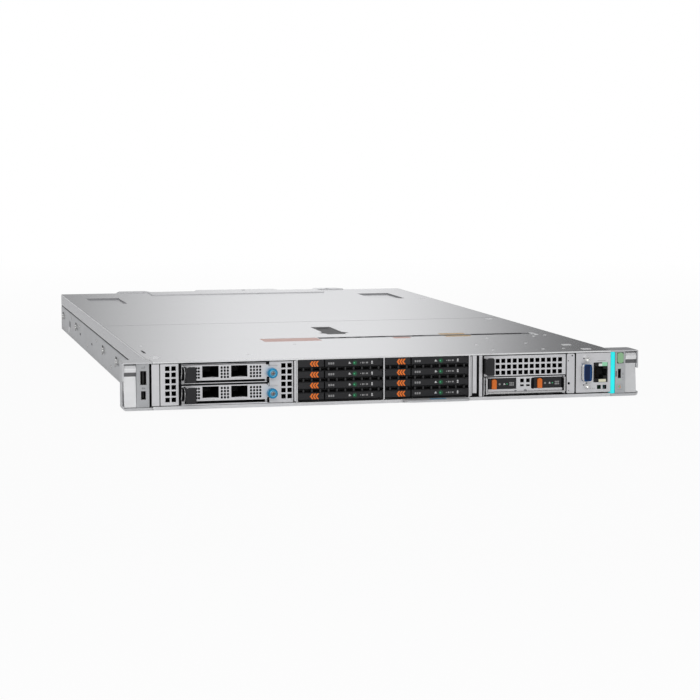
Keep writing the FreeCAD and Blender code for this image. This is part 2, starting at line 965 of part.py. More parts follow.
def drive_cage():
    """Three upright walls joined by a floor and by a shelf between each two rows of drives."""
    top = cover_under - clear
    back = face + cage_length
    pieces = [block(bay_left, cage_right, face + sheet, back, bay_floor_z, bay_floor_z + bay_floor_sheet)]
    for x in (bay_left - bay_wall, bay_left + bay_width, cage_right):
        pieces.append(block(x, x + bay_wall, face, back, bay_floor_z, top))
        pieces.append(block(x, x + bay_wall, face + sheet + clear, back, sheet, top))
    for left in bay_lefts:
        for row in range(1, drive_rows):
            shelf_top = row_z(row) - clear
            shelf_low = shelf_top - shelf_sheet
            pieces.append(block(left, left + bay_width, face + shelf_setback, back, shelf_low, shelf_top))
    return joined(pieces)


def band(left, row):
    """Ends of a carrier's front across the bay, and its lower and upper edge."""
    low = row_z(row) + carrier_face_raise
    return left + clear, left + bay_width - clear, low, low + carrier_face_height


def handle_pivot(left):
    return left + bay_width - clear - handle_pivot_inset, face + front_bar_thickness / 2 - front_bar_proud


def drive(left, row):
    """Carrier with its side rails and hinge lugs, and the drive that it holds."""
    x0, x1, z0, z1 = band(left, row)
    front = face + carrier_face_y
    back = front + carrier_face_depth
    low = row_z(row)
    high = low + drive_height
    button_end = x0 + button_length
    recess = front_bar_thickness - front_bar_proud - carrier_face_y + button_travel + clear
    frame = block(x0, x1, front, back, z0, z1)
    frame = frame.cut(block(x0 - 1, button_end + button_gap / 2, front - 1, front + recess, z0 - 1, z1 + 1))
    stem_x = x0 + button_length / 2
    stem_z = (z0 + z1) / 2
    socket = block(
        stem_x - stem_width / 2 - clear,
        stem_x + stem_width / 2 + clear,
        front - 1,
        back - stem_socket_floor,
        stem_z - stem_height / 2 - clear,
        stem_z + stem_height / 2 + clear,
    )
    rail_end = back + drive_length
    rail = carrier_rail
    rails = [
        block(x0, x0 + rail, back, rail_end, low, high),
        block(x1 - rail, x1, back, rail_end, low, high),
    ]
    pivot_x, pivot_y = handle_pivot(left)
    radius = front_bar_thickness / 2
    corners = {0: handle_end_corner, 1: handle_end_corner}
    plan = clipped(oblong(pivot_x - radius, pivot_x + radius, pivot_y - radius, front), corners)
    lugs = [along_z(plan, lug_z, lug_z + lug_thickness) for lug_z in (z0, z1 - lug_thickness)]
    pin_low = z0 + lug_thickness / 2
    pin = rod(pivot_x, pivot_y, pin_low, V(0, 0, 1), handle_pin_radius, z1 - z0 - lug_thickness)
    carrier = joined([frame.cut(socket)] + rails + lugs + [pin])
    module = block(x0 + rail, x1 - rail, back, rail_end, low, high)
    return [carrier, module]


def bevelled(x0, x1, y0, y1, z0, z1):
    """Bar along X whose two front edges are cut back at a slant."""
    bevel = handle_bevel
    points = [(y0, z0 + bevel), (y0 + bevel, z0), (y1, z0), (y1, z1), (y0 + bevel, z1), (y0, z1 - bevel)]
    return along_x(points, x0, x1)


def drive_handle(left, row):
    """Pull handle; its thinned right-hand end turns on the carrier's pin between the lugs."""
    x0, x1, z0, z1 = band(left, row)
    y0 = face - front_bar_proud
    y1 = y0 + front_bar_thickness
    start = x0 + button_length + button_gap
    pivot_x, pivot_y = handle_pivot(left)
    radius = front_bar_thickness / 2
    neck_x = pivot_x - radius - clear
    bar = bevelled(start, neck_x, y0, y1, z0, z1)
    lug_space = lug_thickness + clear / 2
    corners = {1: handle_end_corner, 2: handle_end_corner}
    plan = clipped(oblong(neck_x - 1, pivot_x + radius, y0, y1), corners)
    end = along_z(plan, z0 + lug_space, z1 - lug_space)
    bore_plan = ring(pivot_x, pivot_y, handle_pin_radius + running_clear, 8, hole=True)
    return joined([bar, end]).cut(along_z(bore_plan, z0, z1))


def drive_button(left, row):
    """Release button with a stem that slides in the carrier."""
    x0, x1, z0, z1 = band(left, row)
    y0 = face - front_bar_proud
    y1 = y0 + front_bar_thickness
    bar = bevelled(x0, x0 + button_length, y0, y1, z0, z1)
    stem_x = x0 + button_length / 2
    stem_z = (z0 + z1) / 2
    stem = block(
        stem_x - stem_width / 2,
        stem_x + stem_width / 2,
        y1 - stem_bite,
        y1 + stem_length,
        stem_z - stem_height / 2,
        stem_z + stem_height / 2,
    )
    return joined([bar, stem])


# ---------------------------------------------------------------- card bay
def card_z(row):
    return card_low_z + card_pitch * row


def screw_place(row):
    return card_left + card_width + screw_inset, card_z(row) + card_height / 2 - screw_drop


def hexagon(x, z, size, y0, y1):
    return along_y(ring(x, z, size / 2, 6), y0, y1)


def card_cages(row):
    """Left edge of each transceiver cage of a card, and the height of its mouth."""
    lefts = [card_left + cage_first_x + cage_spacing * i for i in range(2)]
    return lefts, card_z(row) + cage_raise


def card(row):
    """Network card: pierced face with a clamping tongue, board, two cages and a pull tab."""
    z0 = card_z(row)
    z1 = z0 + card_height
    y0 = face + card_face_y
    y1 = y0 + card_face_sheet
    right = card_left + card_width
    plate = along_y(oblong(card_left, right, z0, z1), y0, y1, {2: card_corner})
    screw_x, screw_z = screw_place(row)
    tongue_low = screw_z - tongue_height / 2
    tongue = oblong(right - tongue_overlap, right + tongue_width, tongue_low, tongue_low + tongue_height)
    plate = joined([plate, along_y(clipped(tongue, {1: tongue_corner, 2: tongue_corner}), y0, y1)])
    lefts, mouth_z = card_cages(row)
    mouth_top = mouth_z + cage_mouth_height
    bore = ring(screw_x, screw_z, screw_shaft_radius + running_clear, hole=True)
    tools = [along_y(bore, y0 - 1, y1 + 1)]
    cages = []
    for x0 in lefts:
        x1 = x0 + cage_mouth_width
        wall = cage_wall
        tools.append(block(x0, x1, y0 - 1, y1 + 1, mouth_z, mouth_top))
        outer = block(x0 - wall, x1 + wall, y1, y1 + cage_depth, mouth_z - wall, mouth_top + wall)
        cages.append(outer.cut(block(x0, x1, y1 - 1, y1 + cage_depth - cage_back, mouth_z, mouth_top)))
    columns = stepped(lefts[0] + cage_mouth_width + card_hole_margin, card_hole_pitch, 3)
    columns += stepped(lefts[1] + cage_mouth_width + card_hole_margin + card_hole_shift, card_hole_pitch, 4)
    for x in columns:
        for z in stepped(z0 + card_hole_rise, card_hole_pitch, 4):
            tools.append(hexagon(x, z, card_hole, y0 - 1, y1 + 1))
    plate = less(plate, tools)
    board = block(
        card_left + card_board_inset,
        right - card_board_inset,
        y1,
        y1 + card_board_length,
        z0 + card_board_raise,
        mouth_z - cage_wall,
    )
    tab_y = face - pull_tab_reach
    tab_x = card_left + pull_tab_inset
    tab = block(tab_x, tab_x + pull_strap, tab_y, y0, z0 + pull_strap_inset, z1 - pull_strap_inset)
    nick = pull_tab_nick
    grip_plan = clipped(oblong(tab_x, tab_x + pull_tab_width, z0, z1), {0: nick, 1: nick, 2: nick})
    grip = along_y(grip_plan, tab_y, tab_y + pull_tab_sheet, {6: pull_tab_corner})
    return [plate, board, joined([tab, grip])] + cages


def card_screw(row):
    """Knurled thumbscrew with a driver recess, turning in the card's tongue."""
    x, z = screw_place(row)
    y1 = face + card_face_y - clear / 2
    y0 = y1 - screw_length
    crests = ring(x, z, screw_radius, screw_knurl_count)
    roots = ring(x, z, screw_radius - screw_knurl_depth, 2 * screw_knurl_count)
    knurled = []
    for i, crest in enumerate(crests):
        knurled += [roots[2 * i], crest]
    knob = along_y(knurled, y0 + screw_cap / 2, y1)
    cap = along_y(ring(x, z, screw_radius - 2 * screw_knurl_depth, screw_knurl_count), y0, y0 + screw_cap)
    recess = along_y(ring(x, z, screw_recess_radius, 12), y0 - 1, y0 + screw_recess_depth)
    shaft = rod(x, y1 - 1, z, V(0, 1, 0), screw_shaft_radius, 1 + screw_shaft_length)
    return joined([joined([knob, cap]).cut(recess), shaft])


def card_frame():
    """Sheets of the card bay: two side walls, and the floor, shelf and lid with guide rails on them."""
    x0 = card_left - card_frame_gap
    x1 = card_left + card_width - clear
    y0 = face + panel_setback
    y1 = y0 + card_frame_length
    behind = face + card_face_y + card_face_sheet + clear
    wall = card_frame_wall
    sheets = [
        block(x0 - wall, x0, y0, y1, panel_bottom, panel_top),
        block(x1, x1 + wall, behind, y1, panel_bottom, panel_top),
    ]
    levels = [
        (panel_bottom, panel_bottom + sheet),
        (card_z(1) - card_level_low, card_z(1) - card_level_high),
        (card_z(1) + card_height + card_lid_gap, panel_top),
    ]
    sheets += [block(x0, x1, y0, y1, low, high) for low, high in levels]
    grip_left = card_left + card_board_inset + card_rail_grip
    grip_right = card_left + card_width - card_board_inset - card_rail_grip
    for row in range(2):
        low = levels[row][1]
        high = card_z(row) + card_board_raise - clear
        sheets.append(block(x0, grip_left, behind, y1, low, high))
        sheets.append(block(grip_right, x1, behind, y1, low, high))
    return sheets


# ---------------------------------------------------------------- front panels
def vent_rows_z():
    return stepped(vent_low_z, vent_pitch, vent_rows)


def front_panels():
    """Separate folded panels between the bays, each pierced where air goes in."""
    y0 = panel_face
    filler_x = filler_inset - half
    filler = channel(filler_x, filler_x + filler_width, y0, panel_return, panel_bottom, panel_top, sheet)
    left_right = left_vent_x + left_vent_width
    left = channel(left_vent_x, left_right, y0, panel_return, panel_bottom, panel_top, sheet)
    middle = (left_vent_x + left_right) / 2 + left_vent_shift
    columns = [middle - vent_pitch / 2, middle + vent_pitch / 2]
    left = less(left, vents(columns, vent_rows_z(), vent_size, y0 - 1, y0 + sheet + 1))

    mid_y = face + card_face_y + card_face_sheet + clear
    mid_right = mid_panel_x + mid_panel_width
    mid_plan = [
        (mid_panel_x, mid_y),
        (mid_right, mid_y),
        (mid_right, mid_y + panel_return),
        (mid_right - sheet, mid_y + panel_return),
        (mid_right - sheet, mid_y + sheet),
        (mid_panel_x, mid_y + sheet),
    ]
    mid = along_z(mid_plan, panel_bottom, panel_top)
    columns = [mid_right - vent_margin - vent_pitch, mid_right - vent_margin]
    tools = vents(columns, vent_rows_z(), vent_size, mid_y - 1, mid_y + sheet + 1)
    for row in range(2):
        hole = ring(*screw_place(row), screw_shaft_radius + clear, 6, hole=True)
        tools.append(along_y(hole, mid_y - 1, mid_y + sheet + 1))
    mid = less(mid, tools)

    pillar_right = pillar_x + pillar_width
    pillar = channel(pillar_x, pillar_right, y0, panel_return, panel_bottom + sheet, panel_top, sheet)
    wall_right = riser_wall_x + riser_wall_width
    wall = channel(riser_wall_x, wall_right, y0, boot_frame_length, panel_bottom, panel_top, sheet)
    return [filler, left, mid, pillar, wall, riser_panel(), bracket(), io_panel()] + card_frame()


def riser_panel():
    """Pierced plate over the boot drives, folded back at the top, with a pull tab at its left end."""
    x0 = riser_x
    x1 = riser_x + riser_width
    y0 = face + riser_setback
    top = panel_top
    plate = block(x0, x1, y0, y0 + sheet, riser_bottom, top)
    fold = block(x0, x1, y0, y0 + riser_flange_length, top - sheet, top)
    count = 1 + int((riser_width - riser_vent_inset - riser_vent_margin) / riser_vent_pitch)
    columns = stepped(x0 + riser_vent_inset, riser_vent_pitch, count)
    rows = stepped(riser_vent_low_z, riser_vent_pitch, riser_vent_rows)
    plate = less(plate, vents(columns, rows, riser_vent_size, y0 - 1, y0 + sheet + 1))
    tab_y = face - riser_tab_reach
    tab_x = x0 + clear
    tab_top = top - pull_tab_sheet
    nick = pull_tab_nick
    strap = block(tab_x, tab_x + pull_strap, tab_y, y0, riser_tab_bottom + nick, tab_top - nick)
    plan = oblong(tab_x, tab_x + riser_tab_width, riser_tab_bottom, tab_top)
    plan = clipped(plan, {0: nick, 1: nick, 2: nick})
    grip = along_y(plan, tab_y, tab_y + pull_tab_sheet, {6: pull_tab_corner})
    return joined([plate, fold, strap, grip])


def bracket():
    """Narrow upright plate with cut corners, a locating hole and two rivet heads."""
    x0 = bracket_x
    x1 = x0 + bracket_width
    y0 = panel_face
    low = panel_bottom
    plan = clipped(oblong(x0, x1, low, panel_top), {i: bracket_corner for i in range(4)})
    plate = along_y(plan, y0, y0 + sheet)
    inset = bracket_corner + clear
    fold = block(x1 - sheet, x1, y0 + sheet / 2, y0 + panel_return, low + inset, panel_top - inset)
    hole = along_y(ring(x0 + bracket_hole_x, bracket_hole_z, bracket_hole, 8), y0 - 1, y0 + sheet + 1)
    rivets = []
    for z in (low + 2 * inset, panel_top - 2 * inset):
        rivet = ring(x0 + bracket_rivet_x, z, bracket_rivet, 8)
        rivets.append(along_y(rivet, y0 - bracket_rivet_proud, y0 + sheet / 2))
    return joined([plate.cut(hole), fold] + rivets)


def io_panel():
    """Port panel with openings for the display and network sockets and two vents."""
    y0 = panel_face
    panel = channel(io_x, io_right, y0, panel_return, panel_bottom + io_lift, panel_top, sheet)
    side = rj_body_width / 2 + clear
    tall = rj_body_height / 2 + clear
    jack = block(rj_x - side, rj_x + side, y0 - 1, y0 + sheet + 1, rj_z - tall, rj_z + tall)
    tools = [vga_outline(clear, y0 - 1, y0 + sheet + 1), jack]
    columns = stepped(io_x + io_vent_inset, io_vent_pitch, 2)
    tools += vents(columns, [io_vent_z], riser_vent_size, y0 - 1, y0 + sheet + 1)
    return less(panel, tools)


def vga_outline(grow, y0, y1):
    """D-shaped prism, tall side at the left, with its corners cut twice so that they read as round."""
    tall = vga_height / 2 + grow
    low_side = tall - vga_slant
    wide = vga_width / 2 + grow
    points = [
        (vga_x - wide, vga_z - tall),
        (vga_x + wide, vga_z - low_side),
        (vga_x + wide, vga_z + low_side),
        (vga_x - wide, vga_z + tall),
    ]
    cut = clipped(points, {i: vga_corner + grow / 2 for i in range(4)})
    soft = clipped(cut, {i: vga_corner * vga_soft for i in range(8)})
    return along_y(soft, y0, y1)


def port_connectors():
    """Display socket with its screw posts, network socket, and the tongues of the small ports."""
    back = face + rj_body_depth + port_board_gap
    panel_y = panel_face
    front = face - vga_proud
    shell = vga_outline(0, front, panel_y + sheet)
    shell = shell.cut(vga_outline(-vga_shell, front - 1, panel_y + sheet + 1))
    core = vga_outline(-vga_shell - clear, front + vga_core_setback, panel_y + sheet)
    side = vga_flange_width / 2
    tall = vga_flange_height / 2
    flange = block(vga_x - side, vga_x + side, panel_y + sheet, back, vga_z - tall, vga_z + tall)
    pieces = [shell, core, flange]
    for end in (-1, 1):
        z = vga_z + end * jack_screw_spacing / 2
        corner = jack_screw_across / math.sqrt(3) * 2
        post = hexagon(vga_x, z, corner, panel_y - jack_screw_proud, panel_y)
        bore = rod(vga_x, panel_y - jack_screw_proud - 1, z, V(0, 1, 0), jack_screw_bore, jack_screw_proud)
        pieces.append(post.cut(bore))
    half_width = rj_body_width / 2
    half_height = rj_body_height / 2
    start = face + rj_setback
    jack = block(rj_x - half_width, rj_x + half_width, start, back, rj_z - half_height, rj_z + half_height)
    mouth_x = rj_x - half_width + rj_lip
    key_x = mouth_x + rj_mouth_width
    inner = start + rj_depth
    tall = rj_mouth_height / 2
    mouth = block(mouth_x, key_x, face, inner, rj_z - tall, rj_z + tall)
    key = block(key_x, key_x + rj_key_width, face, inner, rj_z - rj_key_height / 2, rj_z + rj_key_height / 2)
    pieces.append(less(jack, [mouth, key]))
    tongues = [
        (left_ports_x, usb_z, usb_tongue_width, usb_tongue_height),
        (left_ports_x, small_port_z, small_tongue_width, small_tongue_height),
        (right_ports_x, micro_port_z, micro_tongue_width, micro_tongue_height),
    ]
    for x, z, width, height in tongues:
        x0 = x - width / 2
        z0 = z - height / 2
        pieces.append(block(x0, x0 + width, face + port_tongue_setback, face + port_depth, z0, z0 + height))
    return pieces


# ---------------------------------------------------------------- boot drives
def boot_lefts():
    first = riser_x + boot_carrier_inset
    last = riser_x + riser_width - boot_carrier_inset - boot_carrier_width
    return first, last


def boot_module_frame():
    """Sheet box round the two boot drives, open in front, with a pierced plate between them."""
    x0 = riser_x
    x1 = riser_x + riser_width
    y0 = face + boot_wall
    y1 = y0 + boot_frame_length
    wall = boot_frame_sheet
    outer = block(x0, x1, y0, y1, boot_bottom, boot_top)
    inner = block(x0 + wall, x1 - wall, y0 - 1, y1 - wall, boot_bottom + wall, boot_top - wall)
    sill_low = boot_carrier_z - clear - boot_sill_height
    sill = block(
        x0 + boot_sill_inset,
        x1 - boot_sill_inset,
        y0,
        y0 + boot_face_depth,
        sill_low,
        boot_carrier_z - clear,
    )
    lefts = boot_lefts()
    mid_x0 = lefts[0] + boot_carrier_width + clear
    mid_x1 = lefts[1] - clear
    post = block(mid_x0, mid_x1, y0, y0 + boot_post_depth, sill_low, boot_top)
    uprights = [
        block(mid_x0, mid_x0 + wall, y0, y1, boot_bottom, boot_top),
        block(mid_x1 - wall, mid_x1, y0, y1, boot_bottom, boot_top),
        block(x0, x0 + wall, y0 + boot_post_depth, y1, sheet, boot_top),
        block(x1 - wall, x1, y0 + boot_post_depth, y1, sheet, boot_top),
    ]
    frame = joined([outer.cut(inner), sill, post] + uprights)
    middle = (mid_x0 + mid_x1) / 2
    columns = [middle - boot_vent_spacing / 2, middle + boot_vent_spacing / 2]
    through = (y0 - 1, y0 + boot_post_depth + 1)
    holes = vents(columns, [boot_vent_z], boot_vent_size, *through)
    slot = boot_slot_height / 2
    for x in columns:
        holes.append(block(x - 2 * slot, x + 2 * slot, *through, boot_slot_z - slot, boot_slot_z + slot))
    return [less(frame, holes), boot_bail()]


def boot_bail():
    """Wire pull loop lying along the bottom and up both sides of the boot module's front."""
    wire = boot_bail_wire
    inset = boot_frame_sheet + 2 * clear
    x0 = riser_x + inset
    x1 = riser_x + riser_width - inset
    y1 = face + boot_wall + wire
    y0 = y1 - wire - boot_bail_proud
    low = boot_bottom + boot_frame_sheet + clear
    high = low + boot_bail_rise
    loop = [
        (x0, low),
        (x1, low),
        (x1, high),
        (x1 - wire, high),
        (x1 - wire, low + wire),
        (x0 + wire, low + wire),
        (x0 + wire, high),
        (x0, high),
    ]
    bow = along_y(clipped(loop, {0: wire / 2, 1: wire / 2}), y0, y0 + wire)
    ends = [block(x, x + wire, y0, y1 + 2 * wire, high - wire, high) for x in (x0, x1 - wire)]
    return joined([bow] + ends)


def boot_carrier(left):
    """Plastic nose and tray with the slim drive board on it."""
    y0 = face + boot_face_setback
    back = y0 + boot_face_depth
    z0 = boot_carrier_z
    z1 = z0 + boot_carrier_height - clear
    right = left + boot_carrier_width
    nose = block(left, right, y0, back, z0, z1)
    latch_x0 = left + boot_latch_inset
    pocket = block(
        latch_x0 - clear,
        latch_x0 + boot_latch_width + clear,
        y0 - 1,
        back - boot_wall,
        z0 - 1,
        z0 + boot_latch_height + clear,
    )
    tray_top = z0 + boot_tray
    tray = block(left + boot_wall, right - boot_wall, back, back + boot_board_length, z0, tray_top)
    board_x = (left + right - boot_board_width) / 2
    board = block(
        board_x,
        board_x + boot_board_width,
        back + boot_wall,
        back + boot_board_length - boot_wall,
        tray_top,
        tray_top + boot_board_rise,
    )
    return [joined([nose.cut(pocket), tray]), board]


def boot_latch(left):
    """Bright latch slider standing a little proud of the carrier's nose."""
    x0 = left + boot_latch_inset
    y0 = face + boot_face_setback - boot_latch_proud
    y1 = face + boot_face_setback + boot_face_depth - boot_wall - boot_latch_travel - clear
    plan = oblong(x0, x0 + boot_latch_width, boot_carrier_z, boot_carrier_z + boot_latch_height)
    return along_y(clipped(plan, {2: boot_latch_corner, 3: boot_latch_corner}), y0, y1)


# ---------------------------------------------------------------- information tag
def info_tag():
    x0 = tag_x - tag_width / 2
    x1 = tag_x + tag_width / 2
    y0 = face - tag_proud
    plan = [(x0, y0), (x1, y0), (x1, face + tag_inside), (x0, face + tag_inside)]
    return along_z(plan, tag_z, tag_z + tag_thickness, {0: tag_radius, 1: tag_radius})


# ---------------------------------------------------------------- fans
def fan_xs():
    return stepped(-fan_pitch * (fan_count - 1) / 2, fan_pitch, fan_count)


def fan_frame(x):
    """Square housing with a round duct, a bearing cup at the rear and struts to it."""
    y1 = fan_y + fan_length
    side = fan_size / 2
    body = block(x - side, x + side, fan_y, y1, fan_z - side, fan_z + side)
    frame = body.cut(along_y(ring(x, fan_z, fan_bore_radius, 12, hole=True), fan_y - 1, y1 + 1))
    cup_y = y1 - fan_cup_length
    cup = along_y(ring(x, fan_z, fan_hub_radius, 8), cup_y, y1)
    struts = []
    for i in range(fan_strut_count):
        reach = fan_bore_radius + fan_strut_bite
        strut = block(0, reach, y1 - fan_strut_depth, y1, -fan_strut / 2, fan_strut / 2)
        strut.rotate(V(0, 0, 0), V(0, 1, 0), fan_strut_turn + 360.0 / fan_strut_count * i)
        strut.translate(V(x, 0, fan_z))
        struts.append(strut)
    bore = ring(x, fan_z, fan_shaft_radius + running_clear, 8, hole=True)
    return joined([frame, cup] + struts).cut(along_y(bore, cup_y - 1, y1 - fan_cup_floor))


def fan_rotor(x):
    """Hub with blades set at a slant, on a round shaft that turns in the frame's cup."""
    cup_y = fan_y + fan_length - fan_cup_length
    hub_y1 = cup_y - clear
    hub_y0 = hub_y1 - fan_hub_length
    hub = along_y(ring(x, fan_z, fan_hub_radius, 8), hub_y0, hub_y1)
    shaft_end = cup_y + fan_cup_length - fan_cup_floor - 2 * clear
    shaft = rod(x, hub_y1 - 1, fan_z, V(0, 1, 0), fan_shaft_radius, shaft_end - hub_y1 + 1)
    tip = fan_bore_radius - fan_tip_clear
    slant = math.radians(fan_blade_slant)
    middle_y = (hub_y0 + hub_y1) / 2
    root = fan_hub_radius - fan_blade_root
    section = []
    for along, over in ((-1, -1), (1, -1), (1, 1), (-1, 1)):
        u = along * fan_blade_chord / 2
        v = over * fan_blade_thickness / 2
        across = u * math.cos(slant) - v * math.sin(slant)
        section.append(V(across, middle_y + u * math.sin(slant) + v * math.cos(slant), root))
    reach = max(abs(point.x) for point in section)
    length = math.sqrt(tip * tip - reach * reach) - root
    profile = Part.Face(outline(section))
    blades = []
    for i in range(fan_blade_count):
        blade = profile.extrude(V(0, 0, length))
        blade.rotate(V(0, 0, 0), V(0, 1, 0), 360.0 * i / fan_blade_count)
        blade.translate(V(x, 0, fan_z))
        blades.append(blade)
    return joined([hub, shaft] + blades)


# ---------------------------------------------------------------- boards and what they carry
def circuit_boards():
    """System board with its processor sockets, drive backplane and the port board."""
    main = block(-board_width / 2, board_width / 2, board_y, board_y + board_length, board_z, board_top)
    sockets = []
    for side in (-1, 1):
        x = side * processor_spacing / 2
        sockets.append(
            block(
                x - socket_width / 2,
                x + socket_width / 2,
                processor_y - socket_length / 2,
                processor_y + socket_length / 2,
                board_top,
                board_top + socket_height,
            )
        )
    back_y = face + cage_length + clear
    backplane = block(bay_left, cage_right, back_y, back_y + board_sheet, bay_floor_z, cover_under - sheet)
    port_y = face + rj_body_depth + port_board_gap
    port_board = block(
        io_x + port_board_inset,
        io_right - port_board_inset,
        port_y,
        port_y + board_sheet,
        port_board_bottom,
        port_board_top,
    )
    return [main] + sockets + [backplane, port_board]


def heat_sink(side):
    """Base plate with upright fins running front to rear."""
    x0 = side * processor_spacing / 2 - sink_width / 2
    z0 = board_top + socket_height
    fin_low = z0 + sink_base
    top = z0 + sink_height
    pitch = (sink_width - sink_fin_thickness) / (sink_fin_count - 1)
    points = [(x0, z0), (x0 + sink_width, z0)]
    for i in reversed(range(sink_fin_count)):
        fin_x = x0 + pitch * i
        points.append((fin_x + sink_fin_thickness, fin_low if i < sink_fin_count - 1 else top))
        if i < sink_fin_count - 1:
            points.append((fin_x + sink_fin_thickness, top))
        points.append((fin_x, top))
        if i > 0:
            points.append((fin_x, fin_low))
    y0 = processor_y - sink_length / 2
    return along_y(points, y0, y0 + sink_length)


def memory_modules():
    """Four banks of upright modules, one on each side of either processor."""
    y0 = processor_y - memory_length / 2
    first = sink_width / 2 + memory_gap
    top = board_top + memory_height
    modules = []
    for processor in (-1, 1):
        for side in (-1, 1):
            for i in range(memory_count):
                near = first + memory_pitch * i
                middle = processor * processor_spacing / 2 + side * (near + memory_thickness / 2)
                left = middle - memory_thickness / 2
                modules.append(block(left, left + memory_thickness, y0, y0 + memory_length, board_top, top))
    return modules


# ---------------------------------------------------------------- power supplies
def power_supply(side):
    """Right-hand or left-hand supply: case, pierced rear, inlet with three pins, and pull handle."""
    x0 = psu_left_edge
    x1 = psu_right
    z0 = psu_z
    z1 = psu_z + psu_height
    case = block(x0, x1, psu_front, rear, z0, z1)
    inlet_x = x0 + psu_inlet_inset
    inlet_z = z0 + psu_inlet_inset
    mouth = oblong(inlet_x, inlet_x + psu_inlet_width, inlet_z, inlet_z + psu_inlet_height)
    mouth = clipped(mouth, {2: psu_inlet_corner, 3: psu_inlet_corner})
    tools = [along_y(mouth, rear - psu_inlet_depth, rear + 1)]
    grille_x = x1 - psu_grille_inset
    grille_z = (z0 + z1) / 2
    lowest = grille_z - psu_grille_pitch * (psu_grille_slots - 1) / 2
    for z in stepped(lowest, psu_grille_pitch, psu_grille_slots):
        half_slot = math.sqrt(psu_grille_radius**2 - (z - grille_z) ** 2)
        low = z - psu_grille_slot / 2
        high = low + psu_grille_slot
        grille_y = rear - psu_grille_depth
        tools.append(block(grille_x - half_slot, grille_x + half_slot, grille_y, rear + 1, low, high))
    case = less(case, tools)
    pins = []
    middle_x = inlet_x + psu_inlet_width / 2
    pin_low = inlet_z + psu_inlet_height / 2 - psu_pin_height / 2 - psu_pin_drop
    for x, z in ((-psu_pin_spacing, 0.0), (0.0, psu_pin_rise), (psu_pin_spacing, 0.0)):
        pin_x = middle_x + x - psu_pin_width / 2
        pin_z = pin_low + z
        pin_y0 = rear - psu_inlet_depth
        pin_y1 = rear - psu_pin_recess
        pins.append(block(pin_x, pin_x + psu_pin_width, pin_y0, pin_y1, pin_z, pin_z + psu_pin_height))
    handle_x0 = grille_x - psu_handle_width / 2 - psu_handle_shift
    handle_x1 = handle_x0 + psu_handle_width
    bar = psu_handle_bar
    loop = [
        (handle_x0, rear),
        (handle_x0 + bar, rear),
        (handle_x0 + bar, rear + psu_handle_reach - bar),
        (handle_x1 - bar, rear + psu_handle_reach - bar),
        (handle_x1 - bar, rear),
        (handle_x1, rear),
        (handle_x1, rear + psu_handle_reach),
        (handle_x0, rear + psu_handle_reach),
    ]
    handle_top = z1 - psu_handle_drop
    round_ends = {6: psu_handle_corner, 7: psu_handle_corner}
    handle = along_z(loop, handle_top - psu_handle_height, handle_top, round_ends)
    tab_x = x1 - psu_tab_inset
    tab_plan = [
        (tab_x, rear),
        (tab_x + psu_tab_width, rear),
        (tab_x + psu_tab_width, rear + psu_tab_reach),
        (tab_x, rear + psu_tab_reach - psu_tab_slant),
    ]
    tab_z = z0 + psu_tab_lift
    tab = along_z(tab_plan, tab_z, tab_z + psu_tab_height)
    pieces = [joined([case] + pins), handle, tab]
    return pieces if side > 0 else [mirrored(piece) for piece in pieces]


# ---------------------------------------------------------------- write every piece
os.makedirs("parts", exist_ok=True)
save("chassis_tray", [chassis_tray()])
save("front_top_plate", [front_top_plate()])
save("rear_cover", [rear_cover()])
save("cover_latch", [cover_latch()])
right_ear = rack_ear()
save("rack_ears", [mirrored(right_ear), right_ear])
right_latch = ear_latch()
save("ear_latch_left", [mirrored(right_latch)])
save("ear_latch_right", [right_latch])
save("control_panels", control_panels())
save("light_bar", [light_bar()])
save("power_button", [power_button()])
save("front_panels", front_panels())
save("port_connectors", port_connectors())
save("info_tag", [info_tag()])
save("drive_cage", [drive_cage()])
number = 0
for bay in bay_lefts:
    for level in range(drive_rows):
        number += 1
        save("drive_%d" % number, drive(bay, level))
        save("drive_handle_%d" % number, [drive_handle(bay, level)])
        save("drive_button_%d" % number, [drive_button(bay, level)])
for level, place in enumerate(("lower", "upper")):
    save("network_card_" + place, card(level))
    save("card_screw_" + place, [card_screw(level)])
save("boot_module_frame", boot_module_frame())
for place, position in zip(("left", "right"), boot_lefts()):
    save("boot_carrier_" + place, boot_carrier(position))
    save("boot_latch_" + place, [boot_latch(position)])
for index, fan_x in enumerate(fan_xs()):
    save("fan_rotor_%d" % (index + 1), [fan_rotor(fan_x)])
save("fan_frames", [fan_frame(fan_x) for fan_x in fan_xs()])
save("circuit_boards", circuit_boards())
save("heat_sinks", [heat_sink(-1), heat_sink(1)])
save("memory_modules", memory_modules())
save("power_supply_left", power_supply(-1))
save("power_supply_right", power_supply(1))
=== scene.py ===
import math

